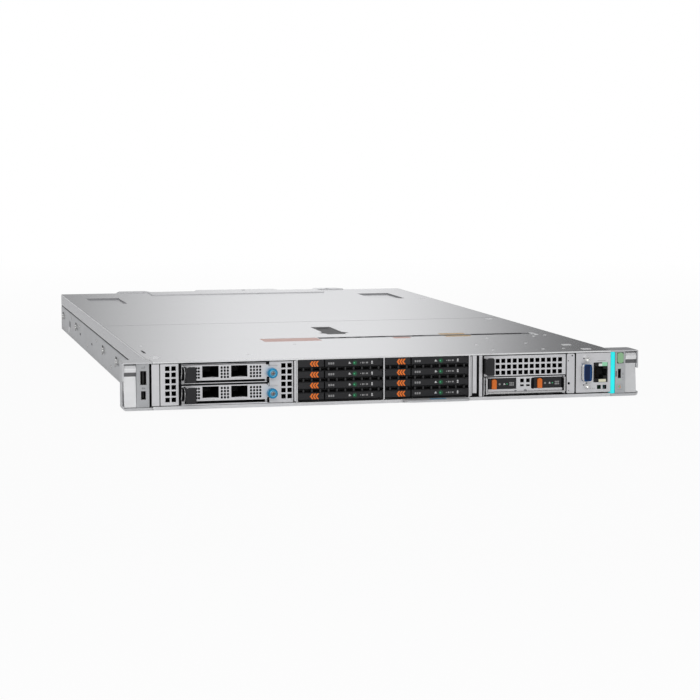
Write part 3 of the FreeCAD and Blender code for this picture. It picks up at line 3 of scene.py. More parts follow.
import bpy
import numpy as np
from mathutils import Matrix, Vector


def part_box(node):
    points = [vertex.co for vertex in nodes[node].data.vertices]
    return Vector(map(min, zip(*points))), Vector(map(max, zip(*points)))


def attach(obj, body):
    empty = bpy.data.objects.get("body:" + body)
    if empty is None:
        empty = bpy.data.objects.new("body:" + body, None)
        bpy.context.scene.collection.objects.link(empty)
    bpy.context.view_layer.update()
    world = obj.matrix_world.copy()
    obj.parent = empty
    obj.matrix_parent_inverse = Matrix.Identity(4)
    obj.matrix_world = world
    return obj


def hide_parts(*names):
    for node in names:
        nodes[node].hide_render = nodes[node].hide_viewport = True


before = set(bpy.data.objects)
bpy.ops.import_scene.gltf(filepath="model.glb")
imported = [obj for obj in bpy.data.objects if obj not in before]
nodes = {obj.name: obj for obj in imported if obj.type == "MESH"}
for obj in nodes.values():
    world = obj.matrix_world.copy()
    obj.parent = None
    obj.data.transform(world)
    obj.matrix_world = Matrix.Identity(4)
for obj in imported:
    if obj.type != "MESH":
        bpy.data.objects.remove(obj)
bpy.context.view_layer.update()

# ---- Chassis tray -------------------------------------------------------------------------
# The tray is one folded sheet of zinc-coated steel: floor, stepped side walls and slotted rear
# wall.  Hex standoffs and the round-headed rail studs are riveted into it.


def node(tree, kind, inputs=(), **settings):
    """One shader node; an input given as a socket is linked, any other value is written in."""
    made = tree.nodes.new(kind)
    for key, value in settings.items():
        setattr(made, key, value)
    for key, value in dict(inputs).items():
        if isinstance(value, bpy.types.NodeSocket):
            tree.links.new(value, made.inputs[key])
        else:
            made.inputs[key].default_value = value
    return made


def blank(name, colour, metallic, roughness, **more):
    """A material with its principled shader; returns material, tree, shader and object coordinates."""
    material = bpy.data.materials.new(name)
    material.use_nodes = True
    material.diffuse_color = (*colour, 1)
    tree = material.node_tree
    shader = tree.nodes["Principled BSDF"]
    shader.inputs["Base Color"].default_value = (*colour, 1)
    shader.inputs["Metallic"].default_value = metallic
    shader.inputs["Roughness"].default_value = roughness
    for key, value in more.items():
        shader.inputs[key.replace("_", " ")].default_value = value
    where = node(tree, "ShaderNodeTexCoord").outputs["Object"]
    return material, tree, shader, where


def tinted(tree, shader, factor, colour, spread):
    """Base colour that runs between a darker and a lighter tone of one colour as the factor rises."""
    ramp = node(tree, "ShaderNodeValToRGB", {"Fac": factor})
    ramp.color_ramp.elements[0].position = 0.25
    ramp.color_ramp.elements[1].position = 0.75
    ramp.color_ramp.elements[0].color = (*[c * (1 - spread) for c in colour], 1)
    ramp.color_ramp.elements[1].color = (*[min(1.0, c * (1 + spread)) for c in colour], 1)
    tree.links.new(ramp.outputs["Color"], shader.inputs["Base Color"])


def between(tree, factor, low, high):
    """A factor from 0 to 1 spread over the range from low to high."""
    spread = node(tree, "ShaderNodeMapRange", {"Value": factor, "To Min": low, "To Max": high})
    return spread.outputs["Result"]


def bumped(tree, shader, height, strength, distance):
    """Fine relief on a shader from a height between 0 and 1."""
    bump = node(tree, "ShaderNodeBump", {"Height": height, "Strength": strength, "Distance": distance})
    tree.links.new(bump.outputs["Normal"], shader.inputs["Normal"])


def zinc_sheet(name, colour, metallic, roughness, grain=(12, 900, 900), streak=1.0):
    """Zinc-coated sheet: soft clouds, faint crystal spangle and fine rolling lines along one axis.
    A smaller streak gives a calmer sheet."""
    material, tree, shader, where = blank(name, colour, metallic, roughness)
    cloud = node(tree, "ShaderNodeTexNoise", {"Vector": where, "Scale": 22.0, "Detail": 4.0}).outputs["Fac"]
    cells = node(tree, "ShaderNodeTexVoronoi", {"Vector": where, "Scale": 240.0})
    tone = node(tree, "ShaderNodeRGBToBW", {"Color": cells.outputs["Color"]}).outputs["Val"]
    stretched = node(tree, "ShaderNodeMapping", {"Vector": where, "Scale": grain}).outputs["Vector"]
    rolling = {"Vector": stretched, "Scale": 1.0, "Detail": 3.0}
    lines = node(tree, "ShaderNodeTexNoise", rolling).outputs["Fac"]
    crystals = between(tree, tone, -0.10, 0.10)
    both = node(tree, "ShaderNodeMath", {0: cloud, 1: crystals}, operation="ADD").outputs[0]
    tinted(tree, shader, both, colour, 0.05 * streak)
    gloss = between(tree, lines, roughness - 0.06 * streak, roughness + 0.08 * streak)
    tree.links.new(gloss, shader.inputs["Roughness"])
    bumped(tree, shader, lines, 0.05 * streak, 0.0001)
    return material


def faces_at(obj):
    """Centre and normal of every face, in millimetres, as two arrays of rows."""
    polygons = obj.data.polygons
    centres = np.empty(len(polygons) * 3)
    normals = np.empty(len(polygons) * 3)
    polygons.foreach_get("center", centres)
    polygons.foreach_get("normal", normals)
    return centres.reshape(-1, 3) * 1000, normals.reshape(-1, 3)


def extent(name):
    """Low and high corner of a node, in millimetres."""
    return [np.asarray(corner) * 1000 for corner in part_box(name)]


def finish(obj, materials, pick=None):
    """Gives a carried-over node its materials; pick is an array of material numbers, one a face."""
    obj.data.materials.clear()
    for material in materials:
        obj.data.materials.append(material)
    if pick is None:
        pick = np.zeros(len(obj.data.polygons))
    obj.data.polygons.foreach_set("material_index", np.asarray(pick, np.int32))


tray_steel = zinc_sheet("tray_steel", (0.68, 0.69, 0.70), 0.85, 0.33)
# Painted shade: a darker copy of the tray steel for the faces inside the tray.
painted_shade_tray = zinc_sheet("painted_shade_tray", (0.50, 0.51, 0.52), 0.85, 0.42)
stud_steel = zinc_sheet("stud_steel", (0.66, 0.66, 0.65), 0.95, 0.26)
# Painted highlight: a lighter copy of the steel for the tray's front hem.
painted_highlight_hem = zinc_sheet("painted_highlight_hem", (0.86, 0.865, 0.875), 0.4, 0.34, grain=(12, 900, 900))
half_width = 217.0
tray = nodes["chassis_tray"]
centres, normals = faces_at(tray)
across, depth, height = np.abs(centres[:, 0]), centres[:, 1], centres[:, 2]
inside = (height > 1.0) & (across < half_width - 2.5) & (depth > 0)
studs = across > half_width + 0.2
front_hem = depth < -24.0
# The faces inside take the painted shade and the front hem the painted highlight.
picks = np.select([front_hem, studs, inside], [3, 2, 1], 0)
finish(tray, [tray_steel, painted_shade_tray, stud_steel, painted_highlight_hem], picks)


def skin(rows):
    """Points and faces of a closed surface through rows of points: each row is a closed loop, the
    next row joins it face by face, and the first and last loops are filled."""
    rows = np.asarray(rows, float)
    count, around = rows.shape[:2]
    here = np.arange(count * around).reshape(count, around)
    ahead = np.roll(here, -1, axis=1)
    sides = np.stack([here[:-1], ahead[:-1], ahead[1:], here[1:]], axis=-1).reshape(-1, 4)
    return rows.reshape(-1, 3), sides.tolist() + [here[0][::-1].tolist(), here[-1].tolist()]


def together(shapes):
    """Several shapes' points and faces as one, each shape's faces moved on by the points before it."""
    points = np.concatenate([shape[0] for shape in shapes])
    starts = np.cumsum([0] + [len(shape[0]) for shape in shapes[:-1]])
    faces = []
    for shape, start in zip(shapes, starts):
        faces += [[corner + int(start) for corner in face] for face in shape[1]]
    return points, faces


def fixed(name, shape, material, body, smooth=False):
    """A new piece from points in millimetres and faces, facing outwards, riding on a body."""
    mesh = bpy.data.meshes.new(name)
    mesh.from_pydata((np.asarray(shape[0]) * 0.001).tolist(), [], shape[1])
    mesh.validate()
    obj = bpy.data.objects.new(name, mesh)
    bpy.context.scene.collection.objects.link(obj)
    volume_sign(mesh)
    mesh.materials.append(material)
    if smooth:
        mesh.polygons.foreach_set("use_smooth", np.ones(len(mesh.polygons), bool))
        mesh.set_sharp_from_angle(angle=math.radians(40))
    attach(obj, body)
    return obj


def volume_sign(mesh):
    """Flips every face if the surface encloses a negative volume, so that faces point outwards."""
    points = np.empty(len(mesh.vertices) * 3)
    mesh.vertices.foreach_get("co", points)
    points = points.reshape(-1, 3)
    mesh.calc_loop_triangles()
    corners = np.empty(len(mesh.loop_triangles) * 3, np.int32)
    mesh.loop_triangles.foreach_get("vertices", corners)
    a, b, c = (points[corners.reshape(-1, 3)[:, i]] for i in range(3))
    if np.einsum("ij,ij->", a, np.cross(b, c)) < 0:
        mesh.flip_normals()


def rounded(u0, u1, v0, v1, radius, steps=5):
    """Loop of a rectangle with round corners: a quarter turn of points about each corner's centre."""
    turns = np.linspace(0, math.pi / 2, steps)
    left, right, low, high = u0 + radius, u1 - radius, v0 + radius, v1 - radius
    arcs = []
    for quarter, (u, v) in enumerate(((right, high), (left, high), (left, low), (right, low))):
        here = turns + quarter * math.pi / 2
        arcs.append(np.stack([u + radius * np.cos(here), v + radius * np.sin(here)], -1))
    return np.concatenate(arcs)


def circle(u, v, radius, steps=24):
    """Loop of points round a circle."""
    turns = np.arange(steps) * 2 * math.pi / steps
    return np.stack([u + radius * np.cos(turns), v + radius * np.sin(turns)], -1)


def raised(loop, base, height, plane, edge=0.15):
    """Low pad over a flat loop: the loop at the base, again just under the top, then drawn in
    towards its middle by the edge.  plane says which axis it rises along: -y, +z, -z, +x, -x or +y."""
    loop = np.asarray(loop, float)
    middle = loop.mean(0)
    reach = np.maximum(np.abs(loop - middle).max(0), 1e-6)
    inner = middle + (loop - middle) * np.maximum(1 - edge / reach, 0.2)
    sign = 1 if plane[0] == "+" else -1
    shoulder = base + sign * max(height - edge, height * 0.4)
    axis = "xyz".index(plane[1])
    levels = ((loop, base), (loop, shoulder), (inner, base + sign * height))
    return skin([np.insert(ring, axis, level, axis=1) for ring, level in levels])


def lathed(profile, centre, axis="y", steps=36):
    """Turned form: each profile point (along, radius) goes once round an axis through the centre."""
    profile = np.asarray(profile, float)
    turns = np.arange(steps) * 2 * math.pi / steps
    length = np.repeat(profile[:, :1], steps, 1)
    first = profile[:, 1:2] * np.cos(turns)
    second = profile[:, 1:2] * np.sin(turns)
    order = {"y": (first, length, second), "x": (length, first, second), "z": (first, second, length)}[axis]
    return skin(np.stack(order, -1) + np.asarray(centre, float))


# Side wall fittings: painted shade in a dark slot by each stud and in the small upright and level
# lances, round-headed rivets, and a painted highlight on a bright upright tab.
stud_ys = (205, 320, 590, 740)
upright_lance_ys = (226, 664, 673)
level_lance_ys = (430, 549)
rivet_places = ((60, 22), (100, 8), (160, 22), (260, 8), (390, 22), (480, 8), (560, 22), (650, 24), (758, 8))
# Painted shade: a near-black sheet for slots, lances, pits and gaps where there is only shade.
painted_shade_dark = zinc_sheet("painted_shade_dark", (0.03, 0.03, 0.035), 0.2, 0.6)
# Painted highlight: near-white steel for bright tabs, dimples, marks and rolled edges.
painted_highlight_steel = zinc_sheet("painted_highlight_steel", (0.95, 0.955, 0.96), 0.1, 0.3, streak=0.5)
for side, place in ((-1, "left"), (1, "right")):
    wall = half_width * side
    out = "-x" if side < 0 else "+x"
    slots = [rounded(y + 5, y + 17, 20.0, 22.6, 1.2) for y in stud_ys]
    slots += [rounded(y, y + 3.2, 11.0, 18.5, 1.5) for y in upright_lance_ys]
    slots += [rounded(y, y + 9.0, 12.6, 14.8, 1.0) for y in level_lance_ys]
    marks = [raised(loop, wall, 0.12, out, 0.05) for loop in slots]
    fixed("side_slots_" + place, together(marks), painted_shade_dark, "chassis")
    upright = raised(rounded(678.5, 683.5, 3.6, 11.0, 1.6), wall, 0.5, out, 0.2)
    fixed("side_tab_" + place, upright, painted_highlight_steel, "chassis")
    head = [(0, 2.0), (0.35 * side, 1.9), (0.7 * side, 1.3), (0.85 * side, 0.4)]
    rivets = [lathed(head, (wall, y, z), "x", 20) for y, z in rivet_places]
    fixed("side_rivets_" + place, together(rivets), stud_steel, "chassis", smooth=True)

# ---- Covers -------------------------------------------------------------------------------
# Two folded lids of the same steel, the front one screwed down and the rear one lifting off.
# Recesses, a crease and small dimples are pressed into them; the recess walls and crease carry
# painted shade, and the dimples, tabs and marks a painted highlight.

cover_steel = zinc_sheet("cover_steel", (0.80, 0.805, 0.815), 0.86, 0.27, grain=(900, 12, 900), streak=0.08)
fold_shade = zinc_sheet("fold_shade", (0.34, 0.34, 0.35), 0.4, 0.5)
band_edge = zinc_sheet("band_edge", (0.70, 0.70, 0.71), 0.0, 0.7, streak=0.3)
top = extent("front_top_plate")[1][2]
band_top = extent("rear_cover")[1][2]
lid = nodes["rear_cover"]
centres, normals = faces_at(lid)
across, depth, height = np.abs(centres[:, 0]), centres[:, 1], centres[:, 2]
sunk = (height > 40.0) & (height < top - 0.01) & (across < 200) & (depth < 720)
crease_end = 334
shaded = sunk & ((normals[:, 1] < -0.5) | (np.abs(normals[:, 0]) > 0.5) | (depth < crease_end))
raised_edge = (height > top + 0.05) & (normals[:, 1] < -0.3)
finish(lid, [cover_steel, fold_shade, band_edge], np.select([raised_edge, shaded], [2, 1], 0))
lid = nodes["front_top_plate"]
centres, normals = faces_at(lid)
depth, height = centres[:, 1], centres[:, 2]
shaded = (height > 40.5) & (height < top - 0.01) & (depth > 140) & (normals[:, 1] < -0.5)
# Painted highlight: the front faces of the hem take the near-white steel.
hem_front = (depth < -24.0) & (normals[:, 1] < -0.3)
finish(lid, [cover_steel, fold_shade, painted_highlight_steel], np.select([hem_front, shaded], [2, 1], 0))

# Painted highlights: near-white dimples, tabs, a seam end and marks on the lids.
dimple = [(-0.3, 1.7), (0.05, 1.7), (0.22, 1.3), (0.28, 0.3)]
dimple_places = (
    (108.6, 3.6), (158.3, 58.5), (187.6, 122.9), (157.4, 2.9), (202.2, 132.0), (177.7, 3.6),
    (107.8, 54.1), (135.8, 111.5), (-205.3, 117.8), (-120, 20), (-60, 100),
)
dimples = [lathed(dimple, (x, y, top), "z", 20) for x, y in dimple_places]
fixed("front_plate_dimples", together(dimples), painted_highlight_steel, "chassis", smooth=True)
tab_places = ((187.0, 195.5, 31.0, 38.5), (192.0, 201.0, -9.5, -2.0), (-209.5, -203.5, 8.0, 22.0))
tabs = [raised(rounded(*place, 1.0), top, 0.3, "+z", 0.2) for place in tab_places]
fixed("front_plate_tabs", together(tabs), painted_highlight_steel, "chassis")
# Painted shade: a dark sheet in the keyhole slot.
keyhole = raised(rounded(-211.6, -209.4, 52.0, 76.0, 1.0), top, 0.08, "+z", 0.04)
fixed("front_plate_slot", keyhole, painted_shade_dark, "chassis")
seam_end = raised(rounded(193.6, 197.4, 137.5, 159.4, 1.2), top, 0.25, "+z", 0.15)
fixed("seam_end", seam_end, painted_highlight_steel, "chassis")
mark_places = ((197.5, 204.0, 315.0, 323.0), (201.5, 205.5, 600.0, 612.0))
lid_marks = [raised(rounded(*place, 1.0), top, 0.2, "+z", 0.15) for place in mark_places]
fixed("rear_lid_marks", together(lid_marks), painted_highlight_steel, "rear_cover")
# Painted shade: two dark pits in the rear band.
pit_places = ((14.5, 778.0), (123.4, 779.0))
band_pits = [raised(circle(x, y, 2.6, 20), band_top, 0.06, "+z", 0.03) for x, y in pit_places]
fixed("rear_band_pits", together(band_pits), painted_shade_dark, "rear_cover")

# Painted shade: dark pads at the hooks here and there in the gap between the two lids.
gap_floor = top - 1.2
gap_end = 159.6
hook_places = ((-24, -8, 150), (-2, 4, 154), (14, 20, 154), (24, 44, 153), (72, 84, 155), (134, 186, 156.5))
gap_hooks = [
    raised(rounded(x0, x1, y0, gap_end, 0.8), gap_floor, 0.9, "+z", 0.2) for x0, x1, y0 in hook_places
]
fixed("gap_hooks", together(gap_hooks), painted_shade_dark, "chassis")

# The lids' long edges are rolled over, with a painted highlight along each roll and hem, and a dark
# slit of painted shadow runs under each side flange where the flange stops short of the step in the tray's
# wall.
lid_lengths = (("front", "chassis", 2.0, 158.0), ("rear", "rear_cover", 161.0, 773.0))
for side, place in ((-1, "left"), (1, "right")):
    wall = half_width * side
    out = "-x" if side < 0 else "+x"
    for lid_name, body, y0, y1 in lid_lengths:
        roll = raised(rounded(y0, y1, 41.9, 42.75, 0.3, 3), wall, 0.22, out, 0.15)
        hem = raised(rounded(y0, y1, 30.45, 31.1, 0.2, 3), wall, 0.12, out, 0.06)
        fixed("%s_lid_roll_%s" % (lid_name, place), together([roll, hem]), painted_highlight_steel, body)
    slit = raised(rounded(28.0, 773.0, 29.1, 30.1, 0.3, 3), wall, 0.06, out, 0.02)
    fixed("flange_slit_" + place, slit, painted_shade_dark, "chassis")

# Bare coloured strips stuck across the seam between the two lids.


def printed(name, colour, roughness=0.5):
    """Thin printed film: one ink with faint mottling and a slight sheen."""
    material, tree, shader, where = blank(name, colour, 0.0, roughness)
    mottle = node(tree, "ShaderNodeTexNoise", {"Vector": where, "Scale": 160.0, "Detail": 3.0}).outputs["Fac"]
    tinted(tree, shader, mottle, colour, 0.06)
    bumped(tree, shader, mottle, 0.05, 0.0001)
    return material


strip_pink = printed("strip_pink", (0.84, 0.56, 0.50))
strip_tan = printed("strip_tan", (0.74, 0.52, 0.27))
for name, x0, x1, y0, y1, level, ink, body in (
    ("pink_strip", -83, -26, 130, 158, top, strip_pink, "chassis"),
    ("small_pink_strip", 48, 65, 134, 146.6, top, strip_pink, "chassis"),
    ("tan_strip_front", 102, 128, 138, 146.6, top, strip_tan, "chassis"),
    ("tan_strip_floor", 102, 128, 148.5, 159, gap_floor, strip_tan, "chassis"),
    ("tan_strip_rear", 102, 128, 161.2, 172, top, strip_tan, "rear_cover"),
):
    fixed(name, raised(rounded(x0, x1, y0, y1, 0.8), level, 0.08, "+z", 0.05), ink, body)

# ---- Cover latch --------------------------------------------------------------------------
# A black glass-filled nylon lever; its head turns on a steel pin across the pocket in the lid.


def moulded(name, colour, roughness, pebble=1400.0, depth=0.12):
    """Moulded plastic: fine pebbled texture with slow changes of tone."""
    material, tree, shader, where = blank(name, colour, 0.0, roughness, Specular_IOR_Level=0.3)
    slow = node(tree, "ShaderNodeTexNoise", {"Vector": where, "Scale": 60.0, "Detail": 2.0}).outputs["Fac"]
    fine = node(tree, "ShaderNodeTexNoise", {"Vector": where, "Scale": pebble, "Detail": 2.0}).outputs["Fac"]
    tinted(tree, shader, slow, colour, 0.08)
    tree.links.new(between(tree, fine, roughness - 0.05, roughness + 0.07), shader.inputs["Roughness"])
    bumped(tree, shader, fine, depth, 0.0002)
    return material


latch_nylon = moulded("latch_nylon", (0.018, 0.018, 0.02), 0.42)
finish(nodes["cover_latch"], [latch_nylon])

# ---- Ears ---------------------------------------------------------------------------------
# Each ear is a folded steel shell riveted to the tray, with a painted latch bar that carries
# the rack hook, and a moulded panel for the ports and the power button.

ear_steel = zinc_sheet("ear_steel", (0.70, 0.705, 0.715), 0.6, 0.34, grain=(900, 900, 12))
bar_paint = zinc_sheet("bar_paint", (0.80, 0.805, 0.81), 0.35, 0.33, grain=(900, 900, 12))
panel_plastic = moulded("panel_plastic", (0.52, 0.53, 0.54), 0.48)
finish(nodes["rack_ears"], [ear_steel])
# Painted shade on the latch bar's fold and a painted highlight on its roll: darker and lighter copies of the
# bar's paint, picked by height on the faces that look forward.
painted_shade_fold = zinc_sheet("painted_shade_fold", (0.20, 0.20, 0.205), 0.35, 0.4, grain=(900, 900, 12))
painted_highlight_roll = zinc_sheet("painted_highlight_roll", (0.95, 0.95, 0.955), 0.05, 0.25, grain=(900, 900, 12))
for place in ("left", "right"):
    centres, normals = faces_at(nodes["ear_latch_" + place])
    depth, height = centres[:, 1], centres[:, 2]
    fronts = (normals[:, 1] < -0.3) & (depth < -18.0)
    fold = fronts & (height > 30.1) & (height < 34.1)
    roll = fronts & (height > 34)
    finish(nodes["ear_latch_" + place], [bar_paint, painted_shade_fold, painted_highlight_roll], np.select([fold, roll], [1, 2], 0))
panels = nodes["control_panels"]
# Painted shade: the walls inside the port mouths of the control panels are near black.
painted_shade_socket = moulded("painted_shade_socket", (0.012, 0.012, 0.013), 0.5)
centres, normals = faces_at(panels)
low, high = extent("control_panels")
across, depth, height = np.abs(centres[:, 0]), centres[:, 1], centres[:, 2]
behind_front = (depth > low[1] + 0.4) & (depth < high[1] - 0.4)
within_edges = (np.abs(across - 222.5) < 4.6) & (height > low[2] + 1) & (height < high[2] - 1)
finish(panels, [panel_plastic, painted_shade_socket], behind_front & within_edges)


def plated(name, colour, roughness=0.22):
    """Bright plated metal with faint handling marks."""
    material, tree, shader, where = blank(name, colour, 1.0, roughness)
    smear = node(tree, "ShaderNodeTexNoise", {"Vector": where, "Scale": 300.0, "Detail": 4.0}).outputs["Fac"]
    tinted(tree, shader, smear, colour, 0.04)
    tree.links.new(between(tree, smear, roughness - 0.06, roughness + 0.12), shader.inputs["Roughness"])
    bumped(tree, shader, smear, 0.05, 0.0001)
    return material


bright_plate = plated("bright_plate", (0.80, 0.80, 0.79))
gold_plate = plated("gold_plate", (0.90, 0.66, 0.26))
wire_grey = plated("wire_grey", (0.42, 0.42, 0.42), 0.35)


def frame_round(x0, x1, z0, z1, front, depth, wall, radius):
    """Thin rim round a rectangular mouth: an outer and an inner rounded loop at the front and at
    the back, joined into one closed ring."""
    outer = rounded(x0 - wall, x1 + wall, z0 - wall, z1 + wall, radius + wall)
    inner = rounded(x0, x1, z0, z1, radius)
    loops = [(outer, front), (outer, front + depth), (inner, front + depth), (inner, front)]
    rows = np.stack([np.insert(loop, 1, level, axis=1) for loop, level in loops])
    count, around = rows.shape[:2]
    here = np.arange(count * around).reshape(count, around)
    ahead = np.roll(here, -1, axis=1)
    down, down_ahead = np.roll(here, -1, axis=0), np.roll(ahead, -1, axis=0)
    faces = np.stack([here, ahead, down_ahead, down], -1).reshape(-1, 4)
    return rows.reshape(-1, 3), faces.tolist()


def bar(x0, x1, z0, z1, front, radius=0.3, steps=3, height=0.06):
    """Thin printed bar with round corners on a face that looks forward."""
    return raised(rounded(x0, x1, z0, z1, radius, steps), front, height, "-y", 0.03)


def dot(x, z, radius, front, steps=16):
    """Thin printed dot on a face that looks forward."""
    return raised(circle(x, z, radius, steps), front, 0.06, "-y", 0.03)


panel_front = low[1]
face = panel_front - 0.6
left_x, right_x = -222.55, 222.85
rims = together(
    [
        frame_round(left_x - 2.6, left_x + 2.6, 22.9, 35.1, panel_front + 0.1, 9.0, 0.22, 0.3),
        frame_round(left_x - 2.05, left_x + 2.05, 9.8, 17.2, panel_front + 0.1, 9.0, 0.18, 0.6),
        frame_round(right_x - 1.4, right_x + 1.4, 16.8, 25.2, panel_front + 0.1, 9.0, 0.16, 0.6),
    ]
)
fixed("port_shells", rims, wire_grey, "chassis")
# Painted shade: near-black ink for the panel's slot, the screw crosses, the display contacts and the dark
# spots on the posts.
painted_shade_ink = printed("painted_shade_ink", (0.07, 0.07, 0.08))
grey_ink = printed("grey_ink", (0.30, 0.30, 0.31))
pale_ink = printed("pale_ink", (0.44, 0.45, 0.45))
panel_icons = together(
    [
        bar(left_x - 1.8, left_x + 1.8, 37.5, 38.2, panel_front, 0.3, 4),
        dot(left_x + 1.2, 38.9, 0.45, panel_front, 12),
        bar(left_x - 1.4, left_x + 0.2, 19.0, 20.6, panel_front, 0.3, 4),
        bar(left_x + 0.6, left_x + 1.6, 19.2, 20.4, panel_front, 0.3, 4),
        bar(226.0, 226.8, 19.6, 21.6, panel_front, 0.3, 4),
        bar(225.9, 226.6, 16.8, 17.8, panel_front, 0.3, 4),
        bar(226.1, 226.8, 14.6, 15.2, panel_front, 0.25, 4),
        frame_round(220.6, 225.6, 5.9, 10.9, panel_front - 0.05, 0.3, 0.22, 0.4),
        frame_round(220.2, 227.0, 30.1, 41.2, panel_front - 0.05, 0.3, 0.16, 0.4),
    ]
)
fixed("panel_icons", panel_icons, grey_ink, "chassis")
# Painted shade: a dark bar where the small slot is.
slot_mark = bar(219.2, 220.2, 18.0, 23.6, panel_front, 0.45, 4)
fixed("panel_slot", slot_mark, painted_shade_ink, "chassis")
patch_green = printed("patch_green", (0.52, 0.66, 0.52))
patches = [bar(right_x - 1.6, right_x + 1.6, z0, z0 + 1.4, panel_front, 0.4, 4) for z0 in (25.8, 14.4)]
fixed("panel_patches", together(patches), patch_green, "chassis")


def slab(loop, base, height):
    """Flat loop carried straight forward: the loop at the base and at the height in front."""
    return skin([np.insert(loop, 1, base, axis=1), np.insert(loop, 1, base - height, axis=1)])


def glowing(name, colour, strength):
    """Lit diffuser: clear-coated plastic with a steady glow that is a little uneven."""
    material, tree, shader, where = blank(name, colour, 0.0, 0.22)
    uneven = node(tree, "ShaderNodeTexNoise", {"Vector": where, "Scale": 90.0, "Detail": 1.0}).outputs["Fac"]
    tinted(tree, shader, uneven, colour, 0.05)
    shader.inputs["Emission Color"].default_value = (*colour, 1)
    tree.links.new(between(tree, uneven, strength * 0.9, strength * 1.1), shader.inputs["Emission Strength"])
    return material


cyan_light = glowing("cyan_light", (0.02, 0.82, 0.84), 0.35)
green_light = glowing("green_light", (0.06, 0.46, 0.20), 0.25)
button_light = glowing("button_light", (0.28, 0.50, 0.28), 0.12)
finish(nodes["light_bar"], [cyan_light])
finish(nodes["power_button"], [button_light])
locator_glow = glowing("locator_glow", (0.20, 0.50, 0.28), 0.2)
locator = lathed([(0.05, 1.0), (-0.20, 0.95), (-0.30, 0.4)], (222.7, panel_front, 8.9), "y", 20)
fixed("locator_light", locator, locator_glow, "chassis", smooth=True)
locator_amber = glowing("locator_amber", (0.75, 0.24, 0.08), 0.1)
amber_loop = np.array([(223.2, 6.9), (224.2, 7.6), (223.9, 9.9), (223.0, 10.1)])[::-1]
fixed("locator_mark", slab(amber_loop, panel_front, 0.12), locator_amber, "chassis")

# ---- Front panels -------------------------------------------------------------------------
# Pierced and folded strips of bright zinc-coated steel between the bays, with the port panel
# at the right.

front_steel = zinc_sheet("front_steel", (0.80, 0.80, 0.815), 0.45, 0.36, grain=(900, 900, 12))
shaded_steel = zinc_sheet("shaded_steel", (0.10, 0.10, 0.105), 0.6, 0.5)
pull_plastic = moulded("pull_plastic", (0.026, 0.026, 0.028), 0.55)
panels = nodes["front_panels"]
centres, normals = faces_at(panels)
across, depth, height = centres.T
in_tab = (across > 91.0) & (across < 99.6) & (depth < face + 1.0) & (height > 20)
deep = (depth > face + 3.2) | ((normals[:, 1] > -0.5) & (depth > face + 1.4))
finish(panels, [front_steel, shaded_steel, pull_plastic], np.select([in_tab, deep], [2, 1], 0))

# Painted shade: thin black strips in the shadow gaps under the top hem, over the bottom hem, round
# the card bay and round the riser, with a bright folded edge where each strip turns back.
painted_shade_black, tree, shader, where = blank("painted_shade_black", (0.006, 0.006, 0.007), 0.0, 0.75, Specular_IOR_Level=0.12)
speckle = node(tree, "ShaderNodeTexNoise", {"Vector": where, "Scale": 900.0, "Detail": 2.0}).outputs["Fac"]
tinted(tree, shader, speckle, (0.006, 0.006, 0.007), 0.3)
bumped(tree, shader, speckle, 0.1, 0.0001)
strip_front = face + 0.4
card_front = face + 0.6


def strip(x0, x1, z0, z1, front, radius=0.1):
    """Thin flat strip with soft corners that stands 0.06 proud of a plane facing forward."""
    return raised(rounded(x0, x1, z0, z1, radius, 2), front, 0.06, "-y", 0.02)


gaps = [
    strip(-190.0, 79.6, 40.75, 41.25, strip_front), strip(91.0, 179.0, 40.8, 41.25, strip_front),
    strip(-215.0, -190.9, 40.85, 41.2, strip_front), strip(180.3, 213.6, 40.9, 41.2, strip_front),
    strip(-215.0, -191.0, 3.35, 3.7, strip_front), strip(91.2, 178.6, 3.35, 3.9, strip_front),
    strip(-208.3, -207.7, 3.4, 41.2, strip_front), strip(178.8, 180.1, 3.4, 41.2, strip_front + 0.3),
    strip(79.9, 84.4, 4.2, 6.6, strip_front - 0.3, 0.3),
    strip(-190.9, -188.7, 3.4, 41.2, card_front, 0.3), strip(-188.8, -111.4, 40.1, 41.2, card_front),
    strip(-188.8, -110.6, 21.5, 22.5, card_front), strip(-112.2, -109.3, 38.2, 41.2, card_front, 0.4),
    strip(-111.4, -109.3, 21.6, 27.0, card_front), strip(-111.2, -109.4, 4.0, 8.6, card_front),
    frame_round(91.5, 170.3, 21.6, 40.5, face + 1.1, 0.1, 0.45, 0.6),
]
fixed("front_gaps", together(gaps), painted_shade_black, "chassis")
folds = [
    strip(-86.5, -84.7, 4.0, 41.0, strip_front - 0.2, 0.5),
    strip(-188.5, -111.6, 22.6, 23.15, card_front - 0.1),
    strip(78.2, 79.4, 4.2, 40.8, strip_front - 0.2, 0.4),
]
fixed("panel_folds", together(folds), front_steel, "chassis")

# ---- Network cards ------------------------------------------------------------------------
# Two cards with pierced steel faces, folded transceiver cages, a dark pull tab held by a wire
# loop, and a blue captive screw each.

card_face_steel = zinc_sheet("card_face_steel", (0.80, 0.80, 0.815), 0.45, 0.34, grain=(12, 900, 900))
board_mask = moulded("board_mask", (0.012, 0.10, 0.045), 0.38, 900.0, 0.05)
wire_steel = plated("wire_steel", (0.72, 0.72, 0.72), 0.25)
# Painted shade: near black for the faces inside the transceiver cages and behind the card face.
painted_shade_cage = zinc_sheet("painted_shade_cage", (0.018, 0.019, 0.020), 0.3, 0.4)


